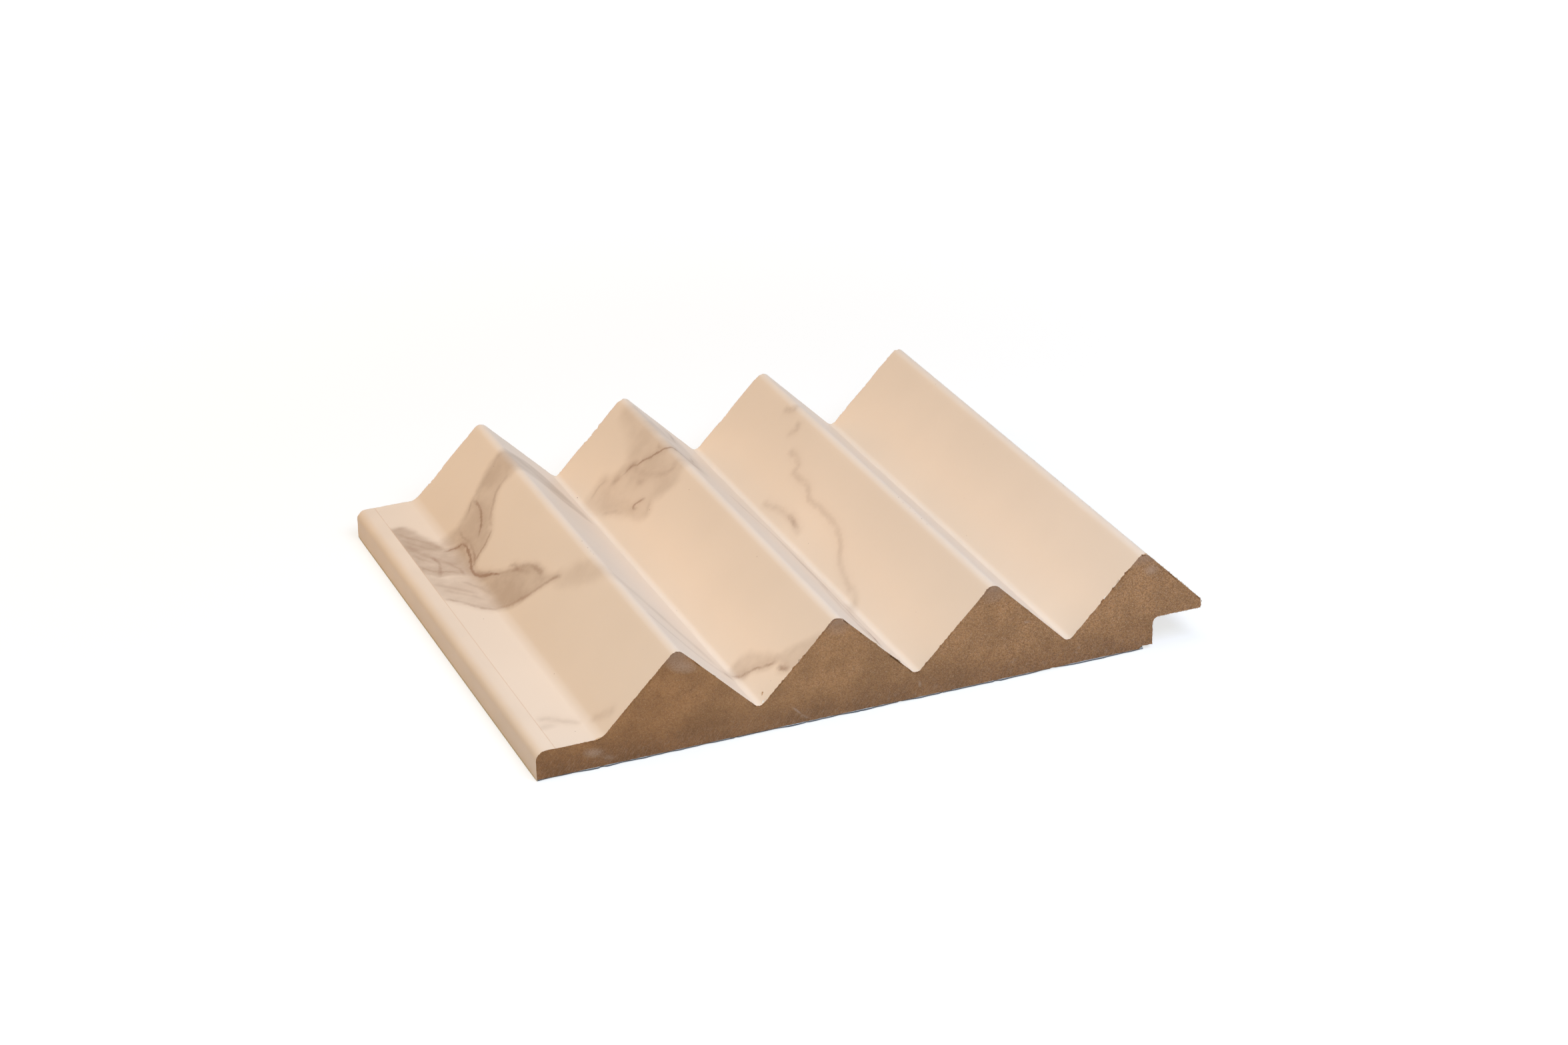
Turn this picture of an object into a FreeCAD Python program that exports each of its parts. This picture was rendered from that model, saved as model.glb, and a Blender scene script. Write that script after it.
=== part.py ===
"""A sawn-off length of louvre wall panel.

The core is one milled fibreboard profile: a row of sharp ridges on a thin web, a flat tongue
along the left edge, and an overhanging lip along the right edge that closes over the tongue of
the next panel. Three films are stuck on it: the printed face film over the ridges, a plain edge
film round the tongue's edge, and a thicker backing film under the whole underside.

X runs across the ridges from tongue to lip, Y along them and Z up from the underside. The
section is drawn from the core's lower left corner, and every piece is then moved so that the
origin lies in the middle of the panel's underside. Millimetres.
"""
import math
import os

import FreeCAD
import Part

# The panel
PANEL_LENGTH = 104.0
RIDGE_COUNT = 4
RIDGE_PITCH = 29.0
CORE_HEIGHT = 18.0
FLANK_ANGLE = 45.0
CREST_RADIUS = 1.3
GROOVE_RADIUS = 1.4

# The tongue along the left edge
TONGUE_WIDTH = 11.4
TONGUE_THICKNESS = 4.85
TONGUE_EDGE_RADIUS = 1.5
FOOT_RADIUS = 3.0

# The lip along the right edge, which closes over the next panel's tongue
JOINT_GAP = 1.8
LIP_CLEARANCE = 0.5
LIP_NOSE_HEIGHT = 1.4
RECESS_RADIUS = 1.2

# The films
FILM_THICKNESS = 0.25
BACKING_THICKNESS = 0.4
SEAM_INSET = 3.2
SEAM_GAP = 0.12

# Places that follow from the sizes above
SLOPE = math.tan(math.radians(FLANK_ANGLE))
# The height of the sharp corner above a rounded crest, and its depth below a rounded groove
CORNER_SHARE = 1 / math.cos(math.radians(FLANK_ANGLE)) - 1
CREST_Z = CORE_HEIGHT + CREST_RADIUS * CORNER_SHARE
GROOVE_Z = CREST_Z - SLOPE * RIDGE_PITCH / 2
FIRST_CREST_X = TONGUE_WIDTH + (CREST_Z - TONGUE_THICKNESS) / SLOPE
LAST_CREST_X = FIRST_CREST_X + (RIDGE_COUNT - 1) * RIDGE_PITCH
COVER_WIDTH = RIDGE_COUNT * RIDGE_PITCH
RECESS_X = COVER_WIDTH - JOINT_GAP
LIP_Z = TONGUE_THICKNESS + FILM_THICKNESS + LIP_CLEARANCE
NOSE_TOP_Z = LIP_Z + LIP_NOSE_HEIGHT
NOSE_X = LAST_CREST_X + (CREST_Z - NOSE_TOP_Z) / SLOPE


def unit(start, end):
    """The direction from one point of the section to another, as a unit vector."""
    across, up = end[0] - start[0], end[1] - start[1]
    length = math.hypot(across, up)
    return across / length, up / length


def turn_between(before, after):
    """The angle that the outline turns through at a corner, anticlockwise positive."""
    cross = before[0] * after[1] - before[1] * after[0]
    dot = before[0] * after[0] + before[1] * after[1]
    return math.atan2(cross, dot)


def point(x, z):
    """A point of the section, which is drawn in the plane of the front end."""
    return FreeCAD.Vector(x, 0, z)


def corner_arc(previous, corner, following):
    """The start, middle and end of the arc that rounds a corner (x, z, radius)."""
    x, z, radius = corner
    before = unit(previous, corner)
    after = unit(corner, following)
    half_turn = abs(turn_between(before, after)) / 2
    reach = radius * math.tan(half_turn)
    start = point(x - before[0] * reach, z - before[1] * reach)
    end = point(x + after[0] * reach, z + after[1] * reach)
    inward = ((start + end) * 0.5 - point(x, z)).normalize()
    depth = radius * (1 / math.cos(half_turn) - 1)
    return start, point(x, z) + inward * depth, end


def path_edges(corners):
    """Straight and round edges along a line of corners (x, z, radius). Its two ends stay sharp."""
    edges = []
    reached = point(corners[0][0], corners[0][1])
    for previous, corner, following in zip(corners, corners[1:], corners[2:]):
        if corner[2] > 0:
            start, middle, end = corner_arc(previous, corner, following)
            edges.append(Part.makeLine(reached, start))
            edges.append(Part.Arc(start, middle, end).toShape())
            reached = end
        else:
            edges.append(Part.makeLine(reached, point(corner[0], corner[1])))
            reached = point(corner[0], corner[1])
    edges.append(Part.makeLine(reached, point(corners[-1][0], corners[-1][1])))
    return edges


def offset_line(corners, distance):
    """The same line of corners moved out to its left, with each radius grown or shrunk to match."""
    moved = []
    for index, (x, z, radius) in enumerate(corners):
        before = unit(corners[index - 1], corners[index]) if index else None
        after = unit(corners[index], corners[index + 1]) if index + 1 < len(corners) else None
        before, after = before or after, after or before
        turn = turn_between(before, after)
        # A corner moves along its bisector, further as the turn gets sharper.
        left = (-(before[1] + after[1]), before[0] + after[0])
        size = math.hypot(*left)
        shift = distance / (size * math.cos(turn / 2))
        grown = radius - math.copysign(distance, turn) if radius > 0 else 0.0
        moved.append((x + left[0] * shift, z + left[1] * shift, max(grown, 0.0)))
    return moved


def extrude_section(edges):
    """A closed section of edges, drawn out along the ridges to the panel's length."""
    section = Part.Face(Part.Wire(edges))
    return section.extrude(FreeCAD.Vector(0, PANEL_LENGTH, 0))


def ridge_corners():
    """The zigzag from the first ridge's foot to the last crest."""
    corners = [(TONGUE_WIDTH, TONGUE_THICKNESS, FOOT_RADIUS)]
    for ridge in range(RIDGE_COUNT):
        crest_x = FIRST_CREST_X + ridge * RIDGE_PITCH
        if ridge:
            corners.append((crest_x - RIDGE_PITCH / 2, GROOVE_Z, GROOVE_RADIUS))
        corners.append((crest_x, CREST_Z, CREST_RADIUS))
    return corners


def edge_corners():
    """The way of the edge film: up the tongue's edge and in over its corner to the seam."""
    rounded = (0.0, TONGUE_THICKNESS, TONGUE_EDGE_RADIUS)
    return [(0.0, 0.0, 0.0), rounded, (SEAM_INSET, TONGUE_THICKNESS, 0.0)]


def face_corners():
    """The way of the face film: from the seam, over the ridges and down the lip's nose."""
    seam = (SEAM_INSET + SEAM_GAP, TONGUE_THICKNESS, 0.0)
    nose = [(NOSE_X, NOSE_TOP_Z, 0.0), (NOSE_X, LIP_Z, 0.0)]
    return [seam, *ridge_corners(), *nose]


def make_core():
    """The milled fibreboard profile, with the recess for the next tongue under its lip."""
    recess = [(RECESS_X, LIP_Z, RECESS_RADIUS), (RECESS_X, 0.0, 0.0)]
    outline = [*edge_corners()[:2], *face_corners()[1:], *recess]
    return extrude_section(path_edges([*outline, outline[0]]))


def make_film(corners):
    """A film of even thickness that follows the core's surface along a line of corners."""
    outside = offset_line(corners, FILM_THICKNESS)
    first_cut, last_cut = (
        Part.makeLine(point(*corners[end][:2]), point(*outside[end][:2])) for end in (0, -1)
    )
    back_along_outside = reversed(path_edges(outside))
    return extrude_section([*path_edges(corners), last_cut, *back_along_outside, first_cut])


def make_backing():
    """The backing film, from the edge film's outer face to the recess."""
    width = RECESS_X + FILM_THICKNESS
    corner = point(-FILM_THICKNESS, -BACKING_THICKNESS)
    return Part.makeBox(width, PANEL_LENGTH, BACKING_THICKNESS, corner)


def to_row_frame(shape):
    """Moves a piece so that the origin is the middle of the panel's underside."""
    left, right = -FILM_THICKNESS, NOSE_X + FILM_THICKNESS
    shape.translate(FreeCAD.Vector(-(left + right) / 2, -PANEL_LENGTH / 2, BACKING_THICKNESS))
    return shape


def main():
    pieces = {
        "mdf_core": make_core(),
        "face_film": make_film(face_corners()),
        "edge_film": make_film(edge_corners()),
        "backing_film": make_backing(),
    }
    os.makedirs("parts", exist_ok=True)
    for name, shape in pieces.items():
        to_row_frame(shape).exportStep(os.path.join("parts", name + ".step"))
        box = shape.BoundBox
        print(
            f"{name}: {shape.Volume:.1f} mm3, valid {shape.isValid()}, "
            f"x {box.XMin:.2f} to {box.XMax:.2f}, z {box.ZMin:.2f} to {box.ZMax:.2f}"
        )


main()
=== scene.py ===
"""The looks of a sawn-off length of louvre wall panel, built round its construction model.

The panel is a milled fibreboard core under a printed marble film, with a plain film round its
tongue's edge and a dull film under its back. X runs across the ridges from the tongue to the
lip, Y along them away from the sawn end in view, and Z up from the wall face. Lengths are in
metres, and MM turns millimetres into metres.
"""
import math
import random
from collections import namedtuple

import bmesh
import bpy
import numpy as np
from mathutils import Euler, Matrix, Vector, geometry, noise


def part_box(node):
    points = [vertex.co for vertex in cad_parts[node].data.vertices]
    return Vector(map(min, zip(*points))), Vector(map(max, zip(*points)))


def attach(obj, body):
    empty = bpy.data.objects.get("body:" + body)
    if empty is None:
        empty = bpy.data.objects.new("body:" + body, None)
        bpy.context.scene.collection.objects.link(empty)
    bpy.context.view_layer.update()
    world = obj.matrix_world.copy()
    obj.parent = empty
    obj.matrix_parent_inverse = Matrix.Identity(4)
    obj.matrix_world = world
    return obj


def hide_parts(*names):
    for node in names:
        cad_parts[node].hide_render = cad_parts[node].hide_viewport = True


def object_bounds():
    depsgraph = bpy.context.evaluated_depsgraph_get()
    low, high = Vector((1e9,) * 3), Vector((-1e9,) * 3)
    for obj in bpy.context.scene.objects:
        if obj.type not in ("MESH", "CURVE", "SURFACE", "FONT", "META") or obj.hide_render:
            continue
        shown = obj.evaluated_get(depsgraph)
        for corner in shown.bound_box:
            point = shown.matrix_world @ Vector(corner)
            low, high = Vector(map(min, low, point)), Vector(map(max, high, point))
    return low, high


bl_info = {
    "name": "Louvre wall panel",
    "version": (1, 0, 0),
    "blender": (4, 5, 0),
    "location": "View3D > Sidebar > Louvre panel",
    "description": "Builds a sawn-off length of louvre wall panel with its films and marble print",
    "category": "Add Mesh",
}

MM = 0.001
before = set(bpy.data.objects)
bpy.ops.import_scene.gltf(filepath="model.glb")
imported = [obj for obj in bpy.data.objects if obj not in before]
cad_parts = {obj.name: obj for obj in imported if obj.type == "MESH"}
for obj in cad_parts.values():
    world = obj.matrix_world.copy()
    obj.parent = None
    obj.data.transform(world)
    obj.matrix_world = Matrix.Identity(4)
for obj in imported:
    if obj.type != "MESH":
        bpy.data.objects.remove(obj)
CAD_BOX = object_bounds()
CORE_LOW, CORE_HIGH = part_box("mdf_core")
EDGE_LOW, EDGE_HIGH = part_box("edge_film")
BACK_LOW, BACK_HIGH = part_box("backing_film")

# The camera stands where the photograph was taken from. Its turn is in degrees, and its lens and
# sensor width are in the camera's own millimetres.
CAMERA_PLACE = (-212.813 * MM, -533.544 * MM, 282.476 * MM)
CAMERA_TURN = (64.8382, 1.1949, -22.6821)
CAMERA_LENS = 80.09
CAMERA_SENSOR = 36.0
CAMERA_NEAR, CAMERA_FAR = 0.01, 20

# Each soft light: its name, place, width, power in watts and colour.
SOFT_LIGHTS = (
    ("top_light", (0.02, 0.02, 1.2), 0.6, 4.1, (1.0, 0.91, 0.66)),
    ("front_light", (-0.2, -1.0, 0.7), 0.6, 3.9, (0.76, 1.0, 0.82)),
    ("near_light", (0.1, -0.3, 0.45), 0.3, 2.35, (0.62, 0.73, 1.0)),
    ("left_light", (-0.38, 0.25, 0.35), 0.3, 1.15, (1.0, 0.57, 0.22)),
    ("right_light", (0.6, -0.3, 0.4), 0.4, 0.56, (0.58, 0.7, 1.0)),
)


class LouvreSection(bpy.types.PropertyGroup):
    """Sizes of the panel's section, which the core and the films share."""

    ridge_count: bpy.props.IntProperty(
        name="Ridges", description="Number of ridges across the panel", default=4, min=1)
    ridge_pitch: bpy.props.FloatProperty(
        name="Ridge pitch", description="Distance from one crest to the next",
        default=29 * MM, unit="LENGTH", subtype="DISTANCE")
    tongue_width: bpy.props.FloatProperty(
        name="Tongue width", description="Flat strip left of the first ridge",
        default=11.4 * MM, unit="LENGTH", subtype="DISTANCE")
    crest_radius: bpy.props.FloatProperty(
        name="Crest radius", description="Rounding of the core's crests",
        default=1.3 * MM, unit="LENGTH", subtype="DISTANCE")
    groove_radius: bpy.props.FloatProperty(
        name="Groove radius", description="Rounding of the core's grooves",
        default=1.4 * MM, unit="LENGTH", subtype="DISTANCE")
    foot_radius: bpy.props.FloatProperty(
        name="Foot radius", description="Rounding where the tongue turns up into the first ridge",
        default=3 * MM, unit="LENGTH", subtype="DISTANCE")
    tongue_edge_radius: bpy.props.FloatProperty(
        name="Tongue edge radius", description="Rounding of the tongue's top corner",
        default=1.5 * MM, unit="LENGTH", subtype="DISTANCE")
    recess_radius: bpy.props.FloatProperty(
        name="Recess radius", description="Rounding in the corner under the lip",
        default=1.2 * MM, unit="LENGTH", subtype="DISTANCE")
    nose_height: bpy.props.FloatProperty(
        name="Nose height", description="Upright edge of the lip",
        default=1.4 * MM, unit="LENGTH", subtype="DISTANCE")
    lip_clearance: bpy.props.FloatProperty(
        name="Lip clearance", description="Room between the lip and the next panel's tongue",
        default=0.5 * MM, unit="LENGTH", subtype="DISTANCE")


class LouvreSaw(bpy.types.PropertyGroup):
    """How the saw left the two cut ends."""

    grain_step: bpy.props.FloatProperty(
        name="Grain step", description="Width of the grid that carries the sawn face's relief",
        default=0.4 * MM, unit="LENGTH", subtype="DISTANCE")
    fuzz: bpy.props.FloatProperty(
        name="Fuzz", description="Depth of the torn fibres on the sawn face",
        default=0.1 * MM, unit="LENGTH", subtype="DISTANCE")
    serration: bpy.props.FloatProperty(
        name="Serration", description="How far the films are torn back from the sawn edge",
        default=0.3 * MM, unit="LENGTH", subtype="DISTANCE")
    far_serration: bpy.props.FloatProperty(
        name="Far serration", description="The same at the end away from the camera",
        default=0.5 * MM, unit="LENGTH", subtype="DISTANCE")
    chip_depth: bpy.props.FloatProperty(
        name="Chip depth", description="How far the largest chips reach in from the sawn edge",
        default=0.8 * MM, unit="LENGTH", subtype="DISTANCE")


class LouvreColours(bpy.types.PropertyGroup):
    """Colours of the films and the board, as linear values."""

    cream: bpy.props.FloatVectorProperty(
        name="Cream", description="Ground of the marble film and of the plain edge film",
        default=(0.79, 0.655, 0.535), size=3, subtype="COLOR", min=0, max=1)
    cloud: bpy.props.FloatVectorProperty(
        name="Cloud", description="Soft brown patches of the marble print",
        default=(0.48, 0.358, 0.268), size=3, subtype="COLOR", min=0, max=1)
    vein: bpy.props.FloatVectorProperty(
        name="Vein", description="Fine dark veins of the marble print",
        default=(0.335, 0.205, 0.135), size=3, subtype="COLOR", min=0, max=1)
    board: bpy.props.FloatVectorProperty(
        name="Board", description="Sawn fibreboard",
        default=(0.37, 0.178, 0.074), size=3, subtype="COLOR", min=0, max=1)
    backing: bpy.props.FloatVectorProperty(
        name="Backing", description="Dull film under the panel",
        default=(0.085, 0.087, 0.1), size=3, subtype="COLOR", min=0, max=1)
    # Brown laid along the films' torn rims
    torn_edge: bpy.props.FloatVectorProperty(
        name="Torn edge", description="Torn rim of the films, dusty with board",
        default=(0.34, 0.17, 0.075), size=3, subtype="COLOR", min=0, max=1)
    seam: bpy.props.FloatVectorProperty(
        name="Seam", description="Glue line where the marble film starts",
        default=(0.66, 0.46, 0.32), size=3, subtype="COLOR", min=0, max=1)


class LouvreStage(bpy.types.PropertyGroup):
    """The floor and the light."""

    floor_size: bpy.props.FloatProperty(
        name="Floor size", description="Side of the square floor",
        default=4.0, unit="LENGTH", subtype="DISTANCE")
    dome: bpy.props.FloatProperty(
        name="Dome", description="Strength of the even light from all round", default=0.02, min=0)


def section():
    """The sizes of the panel's section, as they are set on the scene."""
    return bpy.context.scene.louvre_section


def saw():
    """How the saw left the cut ends, as it is set on the scene."""
    return bpy.context.scene.louvre_saw


def colours():
    """The colours, as they are set on the scene."""
    return bpy.context.scene.louvre_colours


# Places that follow from the frame
FILM = CORE_LOW.x - EDGE_LOW.x
TONGUE_TOP = EDGE_HIGH.z - FILM
NEAR_END, FAR_END = CORE_LOW.y, CORE_HIGH.y
LENGTH = FAR_END - NEAR_END
SEAM_X = EDGE_HIGH.x
RECESS_X = BACK_HIGH.x
# The marble film starts a hair's breadth past the plain one, so that the two only just part.
SEAM_WIDTH = 0.005 * MM
PRINT_X = SEAM_X + SEAM_WIDTH
# The sharp corner above a rounded right-angled crest lies this share of the radius higher.
CORNER_SHARE = math.sqrt(2) - 1
ROUND_SEGMENTS = 8


def crest_height():
    """Height of the sharp corner above a rounded crest of the core."""
    return CORE_HIGH.z + section().crest_radius * CORNER_SHARE


def crest_place(ridge):
    """Place across the panel of a crest, counted from 0 at the tongue."""
    sizes = section()
    first = CORE_LOW.x + sizes.tongue_width + crest_height() - TONGUE_TOP
    return first + ridge * sizes.ridge_pitch


def lip_height():
    """Height of the lip's underside."""
    return TONGUE_TOP + FILM + section().lip_clearance


def tongue_line():
    """The way of the edge film: up the tongue's edge and in over its corner to the seam."""
    corner = (CORE_LOW.x, TONGUE_TOP, section().tongue_edge_radius)
    return [(CORE_LOW.x, CORE_LOW.z, 0), corner, (SEAM_X, TONGUE_TOP, 0)]


def ridge_line():
    """The way of the face film: from the seam, over the ridges and down the lip's nose."""
    sizes = section()
    top = crest_height()
    corners = [(PRINT_X, TONGUE_TOP, 0)]
    corners.append((CORE_LOW.x + sizes.tongue_width, TONGUE_TOP, sizes.foot_radius))
    for ridge in range(sizes.ridge_count):
        if ridge:
            groove_x = crest_place(ridge) - sizes.ridge_pitch / 2
            corners.append((groove_x, top - sizes.ridge_pitch / 2, sizes.groove_radius))
        corners.append((crest_place(ridge), top, sizes.crest_radius))
    nose_x = crest_place(sizes.ridge_count - 1) + top - lip_height() - sizes.nose_height
    corners.append((nose_x, lip_height() + sizes.nose_height, 0))
    corners.append((nose_x, lip_height(), 0))
    return corners


def core_outline():
    """The closed outline of the core: tongue, ridges, nose, lip and recess."""
    recess = [(RECESS_X, lip_height(), section().recess_radius), (RECESS_X, CORE_LOW.z, 0)]
    return tongue_line()[:2] + ridge_line()[1:] + recess


def trace(bm, corners, closed=False):
    """Draws a line of corners (x, z, radius) in the plane of the near end and rounds them."""
    verts = [bm.verts.new((x, NEAR_END, z)) for x, z, _ in corners]
    for pair in zip(verts, verts[1:]):
        bm.edges.new(pair)
    if closed:
        bm.edges.new((verts[-1], verts[0]))
    for vert, (_, _, radius) in zip(verts, corners):
        if radius > 0:
            ways = [edge.other_vert(vert).co - vert.co for edge in vert.link_edges]
            half_turn = (math.pi - ways[0].angle(ways[1])) / 2
            bmesh.ops.bevel(
                bm, geom=[vert], offset=radius * math.tan(half_turn), offset_type="OFFSET",
                segments=ROUND_SEGMENTS, profile=0.5, affect="VERTICES", material=-1,
                clamp_overlap=False)


def divide(bm, edges, step):
    """Cuts each edge into even pieces no longer than a step."""
    by_cuts = {}
    for edge in edges:
        by_cuts.setdefault(math.ceil(edge.calc_length() / step - 0.01) - 1, []).append(edge)
    for cuts, alike in by_cuts.items():
        if cuts > 0:
            bmesh.ops.subdivide_edges(bm, edges=alike, cuts=cuts)


def cut_through(bm, place, way):
    """Cuts the whole piece by the plane through a place that faces a way."""
    bmesh.ops.bisect_plane(
        bm, geom=bm.verts[:] + bm.edges[:] + bm.faces[:], dist=1e-7, plane_co=place, plane_no=way)


def cut_rows(bm, distances):
    """Cuts the whole piece at distances inward from both sawn ends."""
    for inward in distances:
        for place in (NEAR_END + inward, FAR_END - inward):
            cut_through(bm, (0, place, 0), (0, 1, 0))


def draw_out(bm, drawn):
    """Moves the new points of an extrusion along the ridges to the far end."""
    moved = [item for item in drawn if isinstance(item, bmesh.types.BMVert)]
    bmesh.ops.translate(bm, verts=moved, vec=(0, LENGTH, 0))
    bmesh.ops.recalc_face_normals(bm, faces=bm.faces[:])


def runs_along(edge):
    """True for an edge that lies along the ridges."""
    way = edge.verts[1].co - edge.verts[0].co
    return abs(way.y) > 0.9 * way.length > 0


def from_sawn_end(edge):
    """How far an edge's nearest point lies from a sawn end."""
    return min(abs(vert.co.y - end) for vert in edge.verts for end in (NEAR_END, FAR_END))


SHARP_TURN = math.radians(38)


def sharpen(bm):
    """Smooth shading everywhere but over edges with a sharp turn."""
    for face in bm.faces:
        face.smooth = True
    for edge in bm.edges:
        edge.smooth = edge.is_manifold and edge.calc_face_angle(0) < SHARP_TURN


def finish_piece(name, bm, material, replaced=None, others=()):
    """Makes an object of the mesh, which rides on the panel and may stand for a node of it.

    Faces with an index above 0 take the other finishes.
    """
    sharpen(bm)
    mesh = bpy.data.meshes.new(name)
    bm.to_mesh(mesh)
    bm.free()
    piece = bpy.data.objects.new(name, mesh)
    bpy.context.scene.collection.objects.link(piece)
    for finish in (material, *others):
        mesh.materials.append(finish)
    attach(piece, "root")
    if replaced:
        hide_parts(replaced)
    return piece


# The sawn ends

Chip = namedtuple("Chip", "place width depth")
# Chips in the face film at the near end: place from the core's left edge and width in
# millimetres, depth as a share of the saw's chip depth.
FILM_CHIPS = (
    Chip(12.6, 1.2, 0.35), Chip(20.7, 0.5, 0.35), Chip(33.0, 1.3, 0.7), Chip(40.2, 0.6, 0.5),
    Chip(43.6, 0.7, 0.4), Chip(46.4, 0.5, 0.55), Chip(49.2, 0.8, 0.5), Chip(51.6, 0.5, 0.45),
    Chip(58.4, 2.8, 0.55), Chip(60.8, 0.7, 0.9), Chip(62.6, 0.5, 0.4), Chip(67.1, 2.4, 1.0),
    Chip(68.9, 0.8, 0.45), Chip(72.3, 0.6, 0.5), Chip(75.9, 0.5, 0.45), Chip(97.7, 0.8, 0.3),
    Chip(101.2, 0.6, 0.3), Chip(104.6, 0.8, 0.45), Chip(107.6, 0.9, 0.7), Chip(110.2, 0.8, 0.7),
    Chip(112.4, 1.2, 0.4), Chip(117.5, 0.9, 0.6), Chip(121.6, 1.5, 0.8),
    Chip(113.6, 1.6, 0.6), Chip(125.8, 2.0, 1.0),
)

Scuff = namedtuple("Scuff", "x z length width turn strength")
# Pale scuffs and scratches on the near sawn face: place, length and width in millimetres, turn
# in degrees and strength.
SCUFFS = (
    Scuff(9.8, 2.8, 4.4, 2.0, -8, 0.42), Scuff(12.4, 1.4, 3.0, 1.2, -20, 0.26),
    Scuff(113.6, 15.0, 3.4, 2.4, 0, 0.4), Scuff(46.4, 2.4, 2.8, 0.34, -42, 0.6),
    Scuff(47.9, 0.9, 2.4, 0.4, -30, 0.5), Scuff(69.2, 2.4, 3.2, 0.28, 78, 0.5),
    Scuff(89.5, 10.0, 1.4, 0.7, 10, 0.5), Scuff(26.0, 15.4, 6.4, 3.0, -20, 0.42),
    Scuff(54.3, 15.8, 4.0, 1.8, 0, 0.2), Scuff(83.3, 15.8, 4.2, 1.8, 0, 0.2),
    Scuff(87.0, 3.0, 2.0, 0.3, 58, 0.4), Scuff(99.4, 2.4, 2.4, 0.3, 60, 0.4),
)


def scuffed(place):
    """How strongly the scuffs show at a place on the near sawn face."""
    strength = 0.0
    for scuff in SCUFFS:
        off = Vector((place.x - CORE_LOW.x, place.z - CORE_LOW.z)) / MM - Vector((scuff.x, scuff.z))
        off.rotate(Matrix.Rotation(-math.radians(scuff.turn), 2))
        away = math.hypot(off.x / scuff.length, off.y / scuff.width) * 2
        strength = max(strength, scuff.strength * max(0.0, 1 - away ** 2))
    return strength


# The noise of torn edges and sawn faces: how fast its finer layers fade, how much finer each is
# than the last, and how many there are
NOISE_FADE, NOISE_FINER, NOISE_LAYERS = 1.0, 2.0, 3


def rough(place, scale, seed=0.0):
    """Noise of about -1 to 1 at a place, with its own seed, whose grains are about scale wide."""
    spot = Vector(place) / scale + Vector((seed, -seed, seed))
    return noise.fractal(spot, NOISE_FADE, NOISE_FINER, NOISE_LAYERS)


# Places no further apart than this count as one.
SAME_PLACE = 1e-6
# Where the core is cut across, in from its sawn ends, so that their relief fades out
CORE_ROWS = (0.3 * MM, 1 * MM, 3 * MM)
# How wide the tufts on a sawn face are, and how far in the near end is chipped
FUZZ_SIZE = 0.8 * MM
RAGGED_DEPTH = 1.2 * MM
# The piece broken off the near end's lower right corner, and the grains of the break
BROKEN_WIDTH, BROKEN_HEIGHT, BROKEN_GRAIN = 2.6 * MM, 0.6 * MM, 0.6 * MM
# How far up the lip and how far in the recess's wall are frayed there, the grains of each, and
# how high above the lip's underside that goes
LIP_ROUGHNESS, LIP_GRAIN, LIP_RISE = 0.12 * MM, 0.7 * MM, 0.3 * MM
RECESS_ROUGHNESS, RECESS_GRAIN = 0.16 * MM, 1.1 * MM
# The backing film's rows and steps, how far in it is worn, how long its worn stretches and how
# wide its nicks are, and the width that is torn off at the broken corner
BACKING_ROWS = (0.35 * MM, 1.4 * MM, 4 * MM)
BACKING_STEP = 0.3 * MM
WORN_REACH = 2 * MM
WORN_STRETCH, NICK_WIDTH = 9 * MM, 2.6 * MM
TORN_CORNER = 1.6 * MM
# The height it wears up to, as a share of its thickness, and how far back it is torn where it is
# worn through
WORN_LEVEL, WORN_TEAR = 0.7, 0.5 * MM
# How wide the teeth of a torn film are, how wide the stretches with longer teeth, and how wide
# the teeth within a chip
TOOTH, STRETCH, CHIP_TOOTH = 0.5 * MM, 3.5 * MM, 0.34 * MM
# How far in from the sawn edge the film is coloured brown
BROWN_RIM = 0.16 * MM


def tear(place, end, chips):
    """How far a film is torn back at a place along the section, at the near or the far end."""
    seed, reach = (3.1, saw().serration) if end < 0 else (17.7, saw().far_serration)
    fine = 0.5 + 0.8 * rough((place, 0, 0), TOOTH, seed)
    coarse = 0.5 + 0.9 * rough((place, 0, 0), STRETCH, seed + 5)
    depth = reach * max(fine, 0.0) * max(coarse, 0.15)
    for chip in chips:
        away = abs(place - CORE_LOW.x - chip.place * MM) / (chip.width * MM / 2)
        if away < 1:
            ragged = 0.62 + 0.5 * rough((place, 0, 0), CHIP_TOOTH, seed + 9)
            depth = max(depth, saw().chip_depth * chip.depth * (1 - away ** 4) * ragged)
    return depth


def tear_ends(bm, chips):
    """Pulls the film's outermost rows back, marks in torn how near each point is to them, and
    gives the film's end faces the second finish.
    """
    reach = 2 * saw().chip_depth
    torn = bm.verts.layers.float.new("torn")
    for vert in bm.verts:
        for end, sign in ((NEAR_END, -1), (FAR_END, 1)):
            inward = (end - vert.co.y) * sign
            if inward < reach:
                depth = tear(vert.co.x + vert.co.z * 0.3, sign, chips if sign < 0 else ())
                vert.co.y -= sign * depth * (1 - inward / reach)
                vert[torn] = max(vert[torn], 1 - inward / BROWN_RIM)
    bm.normal_update()
    for face in bm.faces:
        if abs(face.normal.y) > 0.6 and abs(face.calc_center_median().y) > LENGTH / 2 - reach:
            face.material_index = 1


# The grid on a film's face, the finer rows along its sawn edges, and how the outermost of them
# are divided once more where the film is torn finest
FILM_STEP, END_STEP = 0.5 * MM, 0.17 * MM
TORN_ROWS, TORN_CUTS = 0.2 * MM, 2


def refine_ends(bm):
    """Divides a film's outermost rows across the ridges, so that the torn edge can be fine."""
    ends = [edge for edge in bm.edges if not runs_along(edge) and from_sawn_end(edge) < TORN_ROWS]
    bmesh.ops.subdivide_edges(bm, edges=ends, cuts=TORN_CUTS)


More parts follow.
